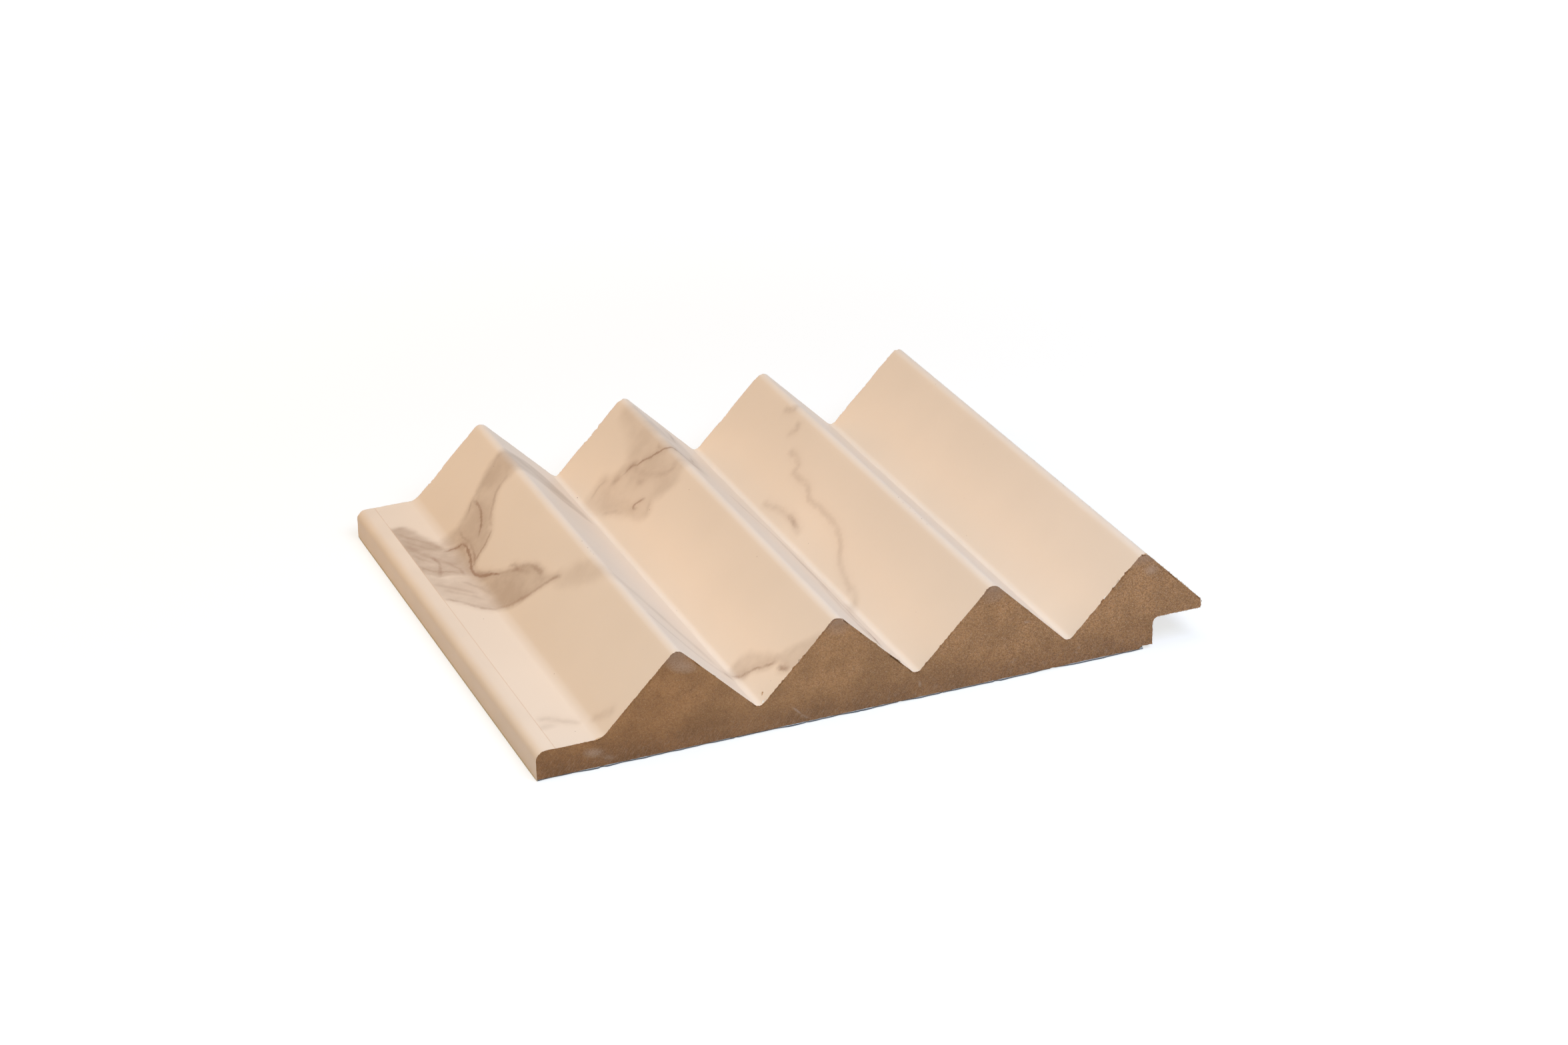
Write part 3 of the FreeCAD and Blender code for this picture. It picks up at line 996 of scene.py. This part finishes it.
def marble_film(layers):
    """Satin cream film with printed veins and soft brown patches."""
    tint = colours()
    material, shader = new_material("marble_film")
    wiring = Wiring(material.node_tree)
    vein_line = vein_group()
    fine = wiring.math("SUBTRACT", wiring.noise(1100, 3.0, 0.6), 0.5)
    broad = wiring.math("SUBTRACT", wiring.noise(260, 2.0, 0.5), 0.5)
    breaks = wiring.ramp(wiring.noise(260, 4.0, 0.65), 0.36, 0.6, 0.45, 1.0)
    veins = 0.0
    for layer in range(layers):
        sign = 1.0 - layer % 2 * 2
        wobble = wiring.math("MULTIPLY_ADD", fine, 0.75 * sign, wiring.math("MULTIPLY", broad, sign))
        mask = wiring.group(
            vein_line, field=wiring.attribute(f"vein_{layer}"), wobble=wobble,
            breaks=breaks)["Mask"]
        veins = wiring.math("SUBTRACT", wiring.math("ADD", veins, mask),
                            wiring.math("MULTIPLY", veins, mask), clamp=True)
    inside, edge, depth = wiring.split(wiring.attribute("cloud"))
    drift = wiring.math("SUBTRACT", wiring.noise(210, 3.0, 0.55), 0.5)
    reached = wiring.math("ADD", inside, wiring.math("MULTIPLY", drift, 2.6))
    body = wiring.ramp(
        reached, wiring.math("MULTIPLY", edge, -1.6), wiring.math("MULTIPLY", edge, 1.2))
    mottle = wiring.ramp(wiring.noise(150, 4.0, 0.55), 0.32, 0.68, 0.66, 1.14)
    cloud = wiring.math("MULTIPLY", wiring.math("MULTIPLY", body, mottle), depth)
    ground = wiring.mix(
        wiring.ramp(wiring.noise(45, 2.0), 0.35, 0.65), tuple(tint.cream),
        tuple(value * 0.975 for value in tint.cream))
    clouded = wiring.mix(cloud, ground, tuple(tint.cloud))
    printed = wiring.mix(veins, clouded, tuple(tint.vein))
    across = wiring.split(wiring.coordinates())[0]
    seam = wiring.ramp(across, PRINT_X + 0.06 * MM, PRINT_X + 0.2 * MM, 0.7, 0.0)
    film_finish(wiring, shader, wiring.mix(seam, printed, tuple(tint.seam)))
    return material


def plain_film():
    """Satin cream film without a print."""
    tint = colours()
    material, shader = new_material("plain_film")
    wiring = Wiring(material.node_tree)
    ground = wiring.mix(
        wiring.ramp(wiring.noise(60, 2.0), 0.35, 0.65), tuple(tint.cream),
        tuple(value * 0.95 for value in tint.cream))
    film_finish(wiring, shader, ground)
    return material


def sawn_board():
    """Fibreboard: clouded brown with lying fibres, flecks, pits of painted shade and the saw's
    streaks; painted shade low and at the tongue, painted light at the lip.
    """
    tint = colours()
    material, shader = new_material("sawn_board")
    wiring = Wiring(material.node_tree)
    board = tuple(tint.board)
    across, _, height = wiring.split(wiring.coordinates())
    # Soft clouds, dark and pale fibres that show more towards the lip, flecks, and pits as specks of
    # painted shade
    clouds = wiring.ramp(wiring.noise(170, 4.0, 0.6), 0.3, 0.7)
    colour = wiring.mix(
        clouds, tuple(value * 0.82 for value in board), tuple(value * 1.13 for value in board))
    grain = wiring.noise(1.0, 3.0, 0.6, vector=wiring.laid((0.36, 0.36, 0.26), turn=(0, 24, 0)))
    dots = wiring.noise(1.0, 2.0, 0.7, vector=wiring.laid((0.16, 0.16, 0.12)))
    rougher = wiring.ramp(across, -38 * MM, 50 * MM, 0.0, 1.0)
    contrast = wiring.math("MULTIPLY_ADD", rougher, 0.3, 0.42)
    dark = wiring.math("MULTIPLY", wiring.ramp(grain, 0.36, 0.6, 1.0, 0.0), contrast)
    colour = wiring.mix(dark, colour, DARK_FIBRE)
    pale = wiring.math(
        "MULTIPLY", wiring.ramp(dots, 0.52, 0.7), wiring.math("MULTIPLY", contrast, 0.7))
    colour = wiring.mix(pale, colour, PALE_FIBRE)
    flecks = wiring.ramp(wiring.noise(2600, 1.0), 0.67, 0.8)
    colour = wiring.mix(wiring.math("MULTIPLY", flecks, 0.3), colour, PALE_FLECK)
    # Pits: dark specks of painted shade
    pits = wiring.ramp(wiring.noise(1500, 2.0), 0.63, 0.74)
    colour = wiring.mix(wiring.math("MULTIPLY", pits, 0.3), colour, PIT_SHADE)
    # Painted shade, darker towards the underside and the tongue, and painted light, paler towards the
    # lip
    low = wiring.ramp(height, 0.5 * MM, 8 * MM, 1.0, 0.0)
    colour = wiring.mix(low, colour, LOW_PAINTED_SHADE, "MULTIPLY")
    left = wiring.ramp(across, CORE_LOW.x + 20 * MM, CORE_LOW.x + 46 * MM, 1.0, 0.0)
    colour = wiring.mix(left, colour, TONGUE_PAINTED_SHADE, "MULTIPLY")
    # Painted light: paler towards the lip
    right = wiring.ramp(across, 0.0, 24 * MM, 1.0, 1.06)
    colour = wiring.mix(1.0, colour, right, "MULTIPLY")
    # The saw's slanting streaks near the underside, a greyer, bluer tint towards the crests' tips and
    # the pale scuffs
    streaks = wiring.noise(
        1.0, 3.0, 0.6, vector=wiring.laid((1.3, 1.3, 0.2), turn=(0, -56, 0)))
    streaks = wiring.math("MULTIPLY", wiring.ramp(streaks, 0.46, 0.68),
                          wiring.ramp(height, 1 * MM, 6 * MM, 0.24, 0.0))
    colour = wiring.mix(streaks, colour, SAW_STREAK)
    tip = wiring.ramp(height, CORE_HIGH.z - 2.4 * MM, CORE_HIGH.z - 0.2 * MM, 0.0, 0.6)
    colour = wiring.mix(tip, colour, CREST_TIP_TINT)
    scuffs = wiring.math(
        "MULTIPLY", wiring.attribute("scuff", "Fac"), wiring.ramp(grain, 0.3, 0.6, 0.5, 1.0))
    colour = wiring.mix(scuffs, colour, PALE_SCUFF)
    wiring.feed(shader.inputs["Base Color"], colour)
    shader.inputs["Roughness"].default_value = 0.85
    shader.inputs["Specular IOR Level"].default_value = 0.25
    coarse = wiring.bump(grain, 0.16 * MM, 0.6)
    wiring.feed(shader.inputs["Normal"], wiring.bump(dots, 0.05 * MM, 0.6, normal=coarse))
    return material


def back_film():
    """Dull grey film with a pale paper face towards the board and a tan side at the tongue."""
    tint = colours()
    material, shader = new_material("back_film")
    wiring = Wiring(material.node_tree)
    across, _, height = wiring.split(wiring.coordinates())
    paper = wiring.ramp(height, 0.33 * MM, 0.36 * MM)
    dull = wiring.mix(
        wiring.ramp(wiring.noise(500, 3.0), 0.35, 0.65), tuple(tint.backing),
        tuple(value * 0.8 for value in tint.backing))
    colour = wiring.mix(paper, dull, BACKING_PAPER)
    side = wiring.ramp(across, BACK_LOW.x + 0.04 * MM, BACK_LOW.x + 0.15 * MM, 1.0, 0.0)
    colour = wiring.mix(side, colour, BACKING_SIDE_TAN)
    wiring.feed(shader.inputs["Base Color"], colour)
    shader.inputs["Roughness"].default_value = 0.6
    wiring.feed(shader.inputs["Normal"], wiring.bump(wiring.noise(1500, 2.0), 0.02 * MM, 0.6))
    return material


def seen_directly(wiring):
    """1 where the camera looks straight, by reflection or through glass, and 0 elsewhere."""
    path = wiring.node("LightPath")
    seen = wiring.math("MAXIMUM", path.outputs["Is Camera Ray"], path.outputs["Is Glossy Ray"])
    return wiring.math("MAXIMUM", seen, path.outputs["Is Transmission Ray"])


# The floor's colour as it lights the panel, and the part of its seen colour that takes a shadow.
# The rest of what is seen glows, from a middle strength near the panel to plain white further
# out, at these distances in metres.
FLOOR_GREY, SHADOW_GREY = (0.8, 0.8, 0.8, 1), (0.32, 0.32, 0.32, 1)
GLOW_NEAR, GLOW_FAR = 0.1, 0.4
GLOW_MIDDLE, GLOW_OUTSIDE = 0.72, 1.0


def white_ground():
    """The floor: white in the camera's and in reflected views, with the panel's shadow kept."""
    material = bpy.data.materials.new("white_ground")
    material.use_nodes = True
    wiring = Wiring(material.node_tree)
    material.node_tree.nodes.clear()
    output = wiring.node("OutputMaterial")
    plain = wiring.node("BsdfDiffuse")
    plain.inputs["Color"].default_value = FLOOR_GREY
    shaded = wiring.node("BsdfDiffuse")
    shaded.inputs["Color"].default_value = SHADOW_GREY
    glow = wiring.node("Emission")
    away = wiring.node("VectorMath", operation="LENGTH")
    wiring.feed(away.inputs[0], wiring.coordinates())
    wiring.feed(glow.inputs["Strength"], wiring.ramp(
        away.outputs["Value"], GLOW_NEAR, GLOW_FAR, GLOW_MIDDLE, GLOW_OUTSIDE))
    lifted = wiring.node("AddShader")
    wiring.feed(lifted.inputs[0], shaded.outputs[0])
    wiring.feed(lifted.inputs[1], glow.outputs[0])
    chosen = wiring.node("MixShader")
    wiring.feed(chosen.inputs[0], seen_directly(wiring))
    wiring.feed(chosen.inputs[1], plain.outputs[0])
    wiring.feed(chosen.inputs[2], lifted.outputs[0])
    wiring.feed(output.inputs["Surface"], chosen.outputs[0])
    return material


# Loose fibres, flakes and sawdust

# Where fibres stand out at the near end: start and end on the section (x, z) and length in
# millimetres, the way they point (x, z) and how many there are.
Fibres = namedtuple("Fibres", "start end way length count")
FIBRE_RUNS = (
    Fibres((114.6, 5.6), (123.6, 5.6), (0, -1), 0.34, 60),
    Fibres((123.4, 5.8), (123.9, 7.0), (1, 0.3), 0.3, 16),
    Fibres((113.4, 17.6), (123.6, 7.4), (1, 1), 0.24, 34),
    Fibres((114.2, 0.8), (114.2, 5.0), (1, 0), 0.26, 14),
    Fibres((112.2, 0.7), (114.0, 0.9), (1, -0.3), 0.3, 10),
    Fibres((98.2, 4.6), (111.4, 16.8), (-1, 1), 0.26, 34),
    Fibres((69.6, 4.6), (81.6, 16.4), (-1, 1), 0.3, 22),
    Fibres((40.6, 4.6), (52.8, 16.6), (-1, 1), 0.3, 18),
    Fibres((26.4, 17.0), (38.6, 4.8), (1, 1), 0.3, 16),
    Fibres((55.6, 16.6), (67.8, 4.6), (1, 1), 0.34, 24),
    Fibres((84.6, 16.6), (96.6, 4.8), (1, 1), 0.3, 18),
)
# Flakes: place (x, y) and size (length, width) in millimetres, lift off the film, turn in degrees
# and colour.
Flake = namedtuple("Flake", "place size lift turn colour")
WHITE = (0.85, 0.8, 0.75)
FLAKES = (
    Flake((40.4, 0.5), (0.6, 0.26), 0.06, (20, -50, 20), WHITE),
    Flake((41.0, 2.2), (0.7, 0.3), 0.06, (10, -40, 70), (0.45, 0.26, 0.14)),
    Flake((104.6, 0.2), (0.5, 0.2), 0.02, (0, -45, 20), WHITE),
    Flake((106.4, 0.2), (0.5, 0.24), 0.02, (0, -45, -30), WHITE),
    Flake((107.2, 0.3), (0.7, 0.3), 0.1, (15, -35, 15), (0.7, 0.55, 0.42)),
    Flake((112.3, 0.25), (0.9, 0.34), -0.02, (0, 4, 8), (0.6, 0.36, 0.2)),
    Flake((119.4, 0.3), (1.5, 0.12), 0.15, (0, 20, 10), WHITE),
    Flake((10.8, 0.16), (1.1, 0.3), -0.01, (0, -6, 4), (0.62, 0.4, 0.22)),
    Flake((46.9, 0.15), (0.7, 0.14), 0.02, (0, -45, 40), (0.2, 0.12, 0.07)),
    Flake((64.7, 0.35), (2.6, 0.45), 0.03, (0, 45, 0), (0.22, 0.11, 0.05)),
    Flake((31.6, 0.2), (0.9, 0.3), 0.02, (0, 45, 10), (0.25, 0.13, 0.06)),
    Flake((60.8, 0.2), (1.4, 0.35), 0.03, (0, 45, -6), (0.45, 0.28, 0.15)),
    Flake((89.6, 0.2), (1.0, 0.3), 0.03, (0, 45, 8), (0.5, 0.32, 0.18)),
)
FLAKE_THICKNESS = 0.04 * MM
# The colour of the fibres, their thickness at the foot and at the tip, and how far they stray from
# the way they point
FIBRE_COLOUR = (0.42, 0.25, 0.14)
FIBRE_FOOT, FIBRE_TIP = 0.05 * MM, 0.02 * MM
FIBRE_STRAY = 1.1
# The colour of the sawdust, and how many grains lie anywhere and how many along the last crest,
# which starts at this place and is this wide in millimetres
GRAIN_COLOUR = (0.34, 0.21, 0.16)
STRAY_GRAINS, CREST_GRAINS = 14, 16
LAST_CREST, CREST_WIDTH = 112.5, 0.6
# Single grains of sawdust: place (x, y) and width in millimetres.
GRAINS = (
    (25.3, 47, 0.22), (25.3, 44, 0.24), (25.3, 42.5, 0.22), (25.4, 41.2, 0.2), (39.8, 39.4, 0.2),
    (42.8, 2.8, 0.2), (52, 30.8, 0.24), (7.4, 50.4, 0.2), (11.6, 24.5, 0.2), (8.2, 4.3, 0.2),
    (46.1, 69.1, 0.24), (51.7, 62.8, 0.26), (39.9, 92.2, 0.3), (22.6, 88.4, 0.2),
    (12.2, 70.4, 0.2), (83.3, 27.5, 0.2), (83.4, 30, 0.24), (83.2, 32.4, 0.2), (83.4, 35, 0.22),
    (83.2, 37.6, 0.2), (83.4, 40, 0.2), (70.6, 52, 0.2), (98.9, 44, 0.18), (74, 12, 0.2),
)


def film_height(x):
    """Height of the film's outer face at a place across the panel."""
    across, height = film_profile()
    # The places are nudged apart, because two at the nose are the same.
    slope = np.gradient(height, across + np.arange(len(across)) * 1e-12)
    outward = np.clip(np.hypot(1, slope), 1, math.sqrt(2))
    return float(np.interp(x, across, height + FILM * outward))


def keep_inside(bm):
    """Holds a loose bit within the panel's own box."""
    for vert in bm.verts:
        vert.co = Vector([min(max(value, low), high) for value, low, high in zip(vert.co, *CAD_BOX)])


def loose_dust():
    """Dull finish of loose bits: each bit's own tint, broken up by paler and darker specks."""
    if "loose_dust" in bpy.data.materials:
        return bpy.data.materials["loose_dust"]
    material, shader = new_material("loose_dust")
    wiring = Wiring(material.node_tree)
    specks = wiring.noise(4000, 2.0)
    shade = wiring.ramp(specks, 0.3, 0.7, 0.84, 1.12)
    colour = wiring.mix(1.0, wiring.attribute("tint", "Color"), shade, "MULTIPLY")
    wiring.feed(shader.inputs["Base Color"], colour)
    wiring.feed(shader.inputs["Normal"], wiring.bump(specks, 0.02 * MM, 0.6))
    shader.inputs["Roughness"].default_value = 0.9
    shader.inputs["Specular IOR Level"].default_value = 0.2
    return material


def finish_bits(name, bm):
    """Keeps loose bits within the panel's own box and makes one piece of them."""
    keep_inside(bm)
    finish_piece(name, bm, loose_dust())


# Operators

class LOUVRE_OT_face_film(bpy.types.Operator):
    """Builds the marble film over the ridges, torn at its sawn ends"""

    bl_idname = "louvre.face_film"
    bl_label = "Marble face film"

    def execute(self, context):
        bm = film_shell(ridge_line())
        refine_ends(bm)
        layers = vein_layers()
        piece = finish_film(
            "marble_face_film", bm, FILM_CHIPS, marble_film(len(layers)),
            "face_film")
        points = np.zeros(len(piece.data.vertices) * 3)
        piece.data.vertices.foreach_get("co", points)
        across, along, _ = points.reshape(-1, 3).T
        places = np.column_stack([unroll(across) / MM, along / MM])
        paint_veins(piece, places, layers)
        paint_clouds(piece, places)
        return {"FINISHED"}


class LOUVRE_OT_edge_film(bpy.types.Operator):
    """Builds the plain film round the tongue's edge"""

    bl_idname = "louvre.edge_film"
    bl_label = "Plain edge film"

    def execute(self, context):
        bm = film_shell(tongue_line())
        finish_film("tongue_edge_film", bm, (), plain_film(), "edge_film")
        return {"FINISHED"}


class LOUVRE_OT_core(bpy.types.Operator):
    """Builds the milled fibreboard core with its sawn ends"""

    bl_idname = "louvre.core"
    bl_label = "Fibreboard core"

    def execute(self, context):
        bm = bmesh.new()
        trace(bm, core_outline(), closed=True)
        bmesh.ops.contextual_create(bm, geom=bm.edges[:])
        draw_out(bm, bmesh.ops.extrude_face_region(bm, geom=bm.faces[:])["geom"])
        self.cut_grid(bm)
        cut_rows(bm, CORE_ROWS)
        scuff = bm.verts.layers.float.new("scuff")
        for vert in bm.verts:
            if vert.co.y < NEAR_END + RAGGED_DEPTH:
                vert[scuff] = scuffed(vert.co)
                self.chip(vert)
            for end, sign in ((NEAR_END, -1), (FAR_END, 1)):
                if abs(vert.co.y - end) < SAME_PLACE:
                    lift = 0.5 + 0.5 * rough(vert.co, FUZZ_SIZE, 2.0)
                    vert.co.y -= sign * saw().fuzz * lift
        finish_piece("sawn_core", bm, sawn_board(), "mdf_core")
        return {"FINISHED"}

    def cut_grid(self, bm):
        """Cuts the grid that carries the sawn faces' relief."""
        step = saw().grain_step
        for axis, low, high in ((0, CORE_LOW.x, CORE_HIGH.x), (2, CORE_LOW.z, CORE_HIGH.z)):
            for index in range(1, math.ceil((high - low) / step)):
                place, way = Vector((0, 0, 0)), Vector((0, 0, 0))
                place[axis] = low + index * step
                way[axis] = 1
                cut_through(bm, place, way)

    def chip(self, vert):
        """Breaks the near end's lower right corner off, and roughens the recess and the lip."""
        ragged = 1 - (vert.co.y - NEAR_END) / RAGGED_DEPTH
        corner_x, corner_z = RECESS_X - BROKEN_WIDTH, CORE_LOW.z + BROKEN_HEIGHT
        if vert.co.z < corner_z and corner_x < vert.co.x < RECESS_X + MM:
            share = 0.75 + 0.25 * rough(vert.co, BROKEN_GRAIN, 4.0)
            vert.co.z += (corner_z - vert.co.z) * ragged * share
        elif vert.co.x > RECESS_X - SAME_PLACE and vert.co.z < lip_height() + LIP_RISE:
            vert.co.z += LIP_ROUGHNESS * ragged * abs(rough(vert.co, LIP_GRAIN, 6.0))
            vert.co.x -= RECESS_ROUGHNESS * ragged * abs(rough(vert.co, RECESS_GRAIN, 8.0))


class LOUVRE_OT_backing(bpy.types.Operator):
    """Builds the dull film under the back, torn along the sawn ends"""

    bl_idname = "louvre.backing"
    bl_label = "Backing film"

    def execute(self, context):
        bm = bmesh.new()
        size = BACK_HIGH - BACK_LOW
        centre = (BACK_HIGH + BACK_LOW) / 2
        bmesh.ops.create_cube(
            bm, size=1, matrix=Matrix.Translation(centre) @ Matrix.Diagonal((*size, 1)))
        across = [edge for edge in bm.edges if abs(edge.verts[0].co.x - edge.verts[1].co.x) > MM]
        divide(bm, across, BACKING_STEP)
        cut_rows(bm, BACKING_ROWS)
        worn_to = BACK_LOW.z + WORN_LEVEL * size.z
        cut_through(bm, (0, 0, worn_to), (0, 0, 1))
        for vert in bm.verts:
            for end, sign in ((NEAR_END, -1), (FAR_END, 1)):
                inward = (end - vert.co.y) * sign
                if inward < WORN_REACH:
                    self.wear(vert, sign, 1 - inward / WORN_REACH, worn_to)
        finish_piece("back_film", bm, back_film(), "backing_film")
        return {"FINISHED"}

    def wear(self, vert, sign, share, worn_to):
        """Lifts a point near a sawn end towards a height and tears it back, by a share."""
        place = (vert.co.x, 0, 0)
        worn = 0.5 + 0.7 * rough(place, WORN_STRETCH, 11.0 * sign)
        nick = max(rough(place, NICK_WIDTH, 5.0 * sign) - 0.3, 0.0)
        past_corner = vert.co.x - (RECESS_X - TORN_CORNER)
        if sign < 0 and past_corner > 0:
            worn, nick = 1.0, 2.5 + past_corner / MM
        if vert.co.z < worn_to - SAME_PLACE:
            lift = min(max(worn + nick, 0.0), 1.0) * (worn_to - BACK_LOW.z) * 0.9
            vert.co.z += lift * share
        torn_back = (max(worn - 0.35, 0.0) + nick) * WORN_TEAR
        vert.co.y -= sign * torn_back * share


class LOUVRE_OT_loose_bits(bpy.types.Operator):
    """Builds the fibres, flakes and grains of sawdust that the saw left on the panel"""

    bl_idname = "louvre.loose_bits"
    bl_label = "Loose fibres and sawdust"

    def execute(self, context):
        self.fibres()
        self.flakes()
        self.grains()
        return {"FINISHED"}

    def fibres(self):
        """Short thin fibres that stand out of the sawn edges of the board."""
        bm = bmesh.new()
        tint = bm.verts.layers.float_color.new("tint")
        chance = random.Random(11)
        for run in FIBRE_RUNS:
            for _ in range(run.count):
                share = chance.random()
                place = Vector((
                    CORE_LOW.x + (run.start[0] + share * (run.end[0] - run.start[0])) * MM,
                    NEAR_END + chance.uniform(0.1, 0.3) * MM,
                    CORE_LOW.z + (run.start[1] + share * (run.end[1] - run.start[1])) * MM))
                way = Vector((run.way[0], 0, run.way[1])).normalized()
                way += Vector([chance.uniform(-FIBRE_STRAY, FIBRE_STRAY) for _ in range(3)])
                length = run.length * MM * chance.uniform(0.4, 1.0)
                turn = way.to_track_quat("Z", "X").to_matrix().to_4x4()
                bmesh.ops.create_cone(
                    bm, segments=4, radius1=FIBRE_FOOT, radius2=FIBRE_TIP, depth=length,
                    cap_ends=True,
                    matrix=Matrix.Translation(place + way.normalized() * length * 0.3) @ turn)
        for vert in bm.verts:
            vert[tint] = (*FIBRE_COLOUR, 1)
        finish_bits("loose_fibres", bm)

    def flakes(self):
        """Thin torn flakes of film and board that still cling to the sawn edges."""
        bm = bmesh.new()
        tint = bm.verts.layers.float_color.new("tint")
        for flake in FLAKES:
            known = set(bm.verts)
            grid = bmesh.ops.create_grid(bm, x_segments=5, y_segments=3, size=0.5)["verts"]
            x = CORE_LOW.x + flake.place[0] * MM
            seed = flake.place[0] + flake.place[1]
            for vert in grid:
                taper = 1 - 0.6 * abs(vert.co.x) * 2 * (0.6 + 0.4 * math.sin(seed))
                curl = 0.3 * (vert.co.x + 0.5) ** 2
                vert.co = Vector((
                    vert.co.x * flake.size[0] * MM, vert.co.y * taper * flake.size[1] * MM,
                    (curl + 0.12 * rough((vert.co.x, vert.co.y, seed), 0.4)) * flake.size[1] * MM))
            sheet = [face for face in bm.faces if face.verts[0] not in known]
            bmesh.ops.solidify(bm, geom=sheet, thickness=FLAKE_THICKNESS)
            made = [vert for vert in bm.verts if vert not in known]
            bmesh.ops.recalc_face_normals(
                bm, faces=[face for face in bm.faces if face.verts[0] not in known])
            base = Vector((x, NEAR_END + flake.place[1] * MM, film_height(x) + flake.lift * MM))
            turn = Euler([math.radians(angle) for angle in flake.turn]).to_matrix().to_4x4()
            bmesh.ops.transform(bm, matrix=Matrix.Translation(base) @ turn, verts=made)
            for vert in made:
                vert[tint] = (*flake.colour, 1)
        finish_bits("torn_flakes", bm)

    def grains(self):
        """Grains of sawdust that lie on the film."""
        bm = bmesh.new()
        tint = bm.verts.layers.float_color.new("tint")
        chance = random.Random(4)
        places = list(GRAINS)
        for _ in range(STRAY_GRAINS):
            places.append((chance.uniform(4, 120), chance.uniform(1, 102), chance.uniform(0.1, 0.16)))
        for _ in range(CREST_GRAINS):
            across = LAST_CREST + chance.uniform(0, CREST_WIDTH)
            places.append((across, chance.uniform(2, 100), 0.16))
        for across, along, size in places:
            x = CORE_LOW.x + across * MM
            place = Vector((x, NEAR_END + along * MM, film_height(x)))
            turn = Euler([chance.uniform(0, 6) for _ in range(3)]).to_matrix().to_4x4()
            shape = Matrix.Diagonal([chance.uniform(0.24, 0.44) * size * MM for _ in range(3)] + [1])
            bmesh.ops.create_icosphere(
                bm, subdivisions=1, radius=1, matrix=Matrix.Translation(place) @ turn @ shape)
        for vert in bm.verts:
            vert[tint] = (*GRAIN_COLOUR, 1)
        finish_bits("sawdust", bm)


class LOUVRE_OT_stage(bpy.types.Operator):
    """Places the camera, the white floor and the soft lights"""

    bl_idname = "louvre.stage"
    bl_label = "Stage"

    def execute(self, context):
        scene = context.scene
        settings = scene.louvre_stage
        lens = bpy.data.cameras.new("camera")
        lens.lens = CAMERA_LENS
        lens.sensor_width = CAMERA_SENSOR
        lens.sensor_fit = "HORIZONTAL"
        lens.clip_start, lens.clip_end = CAMERA_NEAR, CAMERA_FAR
        camera = bpy.data.objects.new("camera", lens)
        camera.location = CAMERA_PLACE
        camera.rotation_euler = Euler([math.radians(angle) for angle in CAMERA_TURN])
        scene.collection.objects.link(camera)
        scene.camera = camera
        bm = bmesh.new()
        bmesh.ops.create_grid(bm, x_segments=1, y_segments=1, size=settings.floor_size / 2)
        mesh = bpy.data.meshes.new("floor")
        bm.to_mesh(mesh)
        bm.free()
        floor = bpy.data.objects.new("floor", mesh)
        mesh.materials.append(white_ground())
        scene.collection.objects.link(floor)
        for lamp in SOFT_LIGHTS:
            self.soft_light(*lamp)
        world = bpy.data.worlds.new("white_room")
        world.use_nodes = True
        wiring = Wiring(world.node_tree)
        world.node_tree.nodes.clear()
        back = wiring.node("Background")
        back.inputs["Color"].default_value = (1, 1, 1, 1)
        strength = wiring.ramp(seen_directly(wiring), 0.0, 1.0, settings.dome, 1.0)
        wiring.feed(back.inputs["Strength"], strength)
        wiring.feed(wiring.node("OutputWorld").inputs["Surface"], back.outputs[0])
        scene.world = world
        scene.view_settings.view_transform = "Standard"
        return {"FINISHED"}

    def soft_light(self, name, place, size, power, colour):
        """A square soft light at a place, turned to the panel."""
        lamp = bpy.data.lights.new(name, "AREA")
        lamp.size = size
        lamp.energy = power
        lamp.color = colour
        light = bpy.data.objects.new(name, lamp)
        light.location = place
        light.rotation_euler = (-Vector(place)).to_track_quat("-Z", "Y").to_euler()
        bpy.context.scene.collection.objects.link(light)


class LOUVRE_PT_panel(bpy.types.Panel):
    """Lists the panel's pieces and their sizes"""

    bl_idname = "LOUVRE_PT_panel"
    bl_label = "Louvre wall panel"
    bl_space_type = "VIEW_3D"
    bl_region_type = "UI"
    bl_category = "Louvre panel"

    def draw(self, context):
        layout = self.layout
        scene = context.scene
        for settings in (scene.louvre_section, scene.louvre_saw, scene.louvre_colours,
                         scene.louvre_stage):
            column = layout.column(align=True)
            for name in settings.__annotations__:
                column.prop(settings, name)
        for operator in OPERATORS:
            layout.operator(operator.bl_idname)


SETTINGS = {
    "louvre_section": LouvreSection,
    "louvre_saw": LouvreSaw,
    "louvre_colours": LouvreColours,
    "louvre_stage": LouvreStage,
}
OPERATORS = (
    LOUVRE_OT_stage, LOUVRE_OT_core, LOUVRE_OT_face_film, LOUVRE_OT_edge_film,
    LOUVRE_OT_backing, LOUVRE_OT_loose_bits,
)


def register():
    for name, group in SETTINGS.items():
        bpy.utils.register_class(group)
        setattr(bpy.types.Scene, name, bpy.props.PointerProperty(type=group))
    for operator in OPERATORS:
        bpy.utils.register_class(operator)
    bpy.utils.register_class(LOUVRE_PT_panel)


def unregister():
    bpy.utils.unregister_class(LOUVRE_PT_panel)
    for operator in reversed(OPERATORS):
        bpy.utils.unregister_class(operator)
    for name, group in reversed(SETTINGS.items()):
        delattr(bpy.types.Scene, name)
        bpy.utils.unregister_class(group)


def main():
    register()
    bpy.ops.louvre.stage()
    bpy.ops.louvre.core()
    bpy.ops.louvre.face_film()
    bpy.ops.louvre.edge_film()
    bpy.ops.louvre.backing()
    bpy.ops.louvre.loose_bits()


if __name__ == "__main__":
    main()
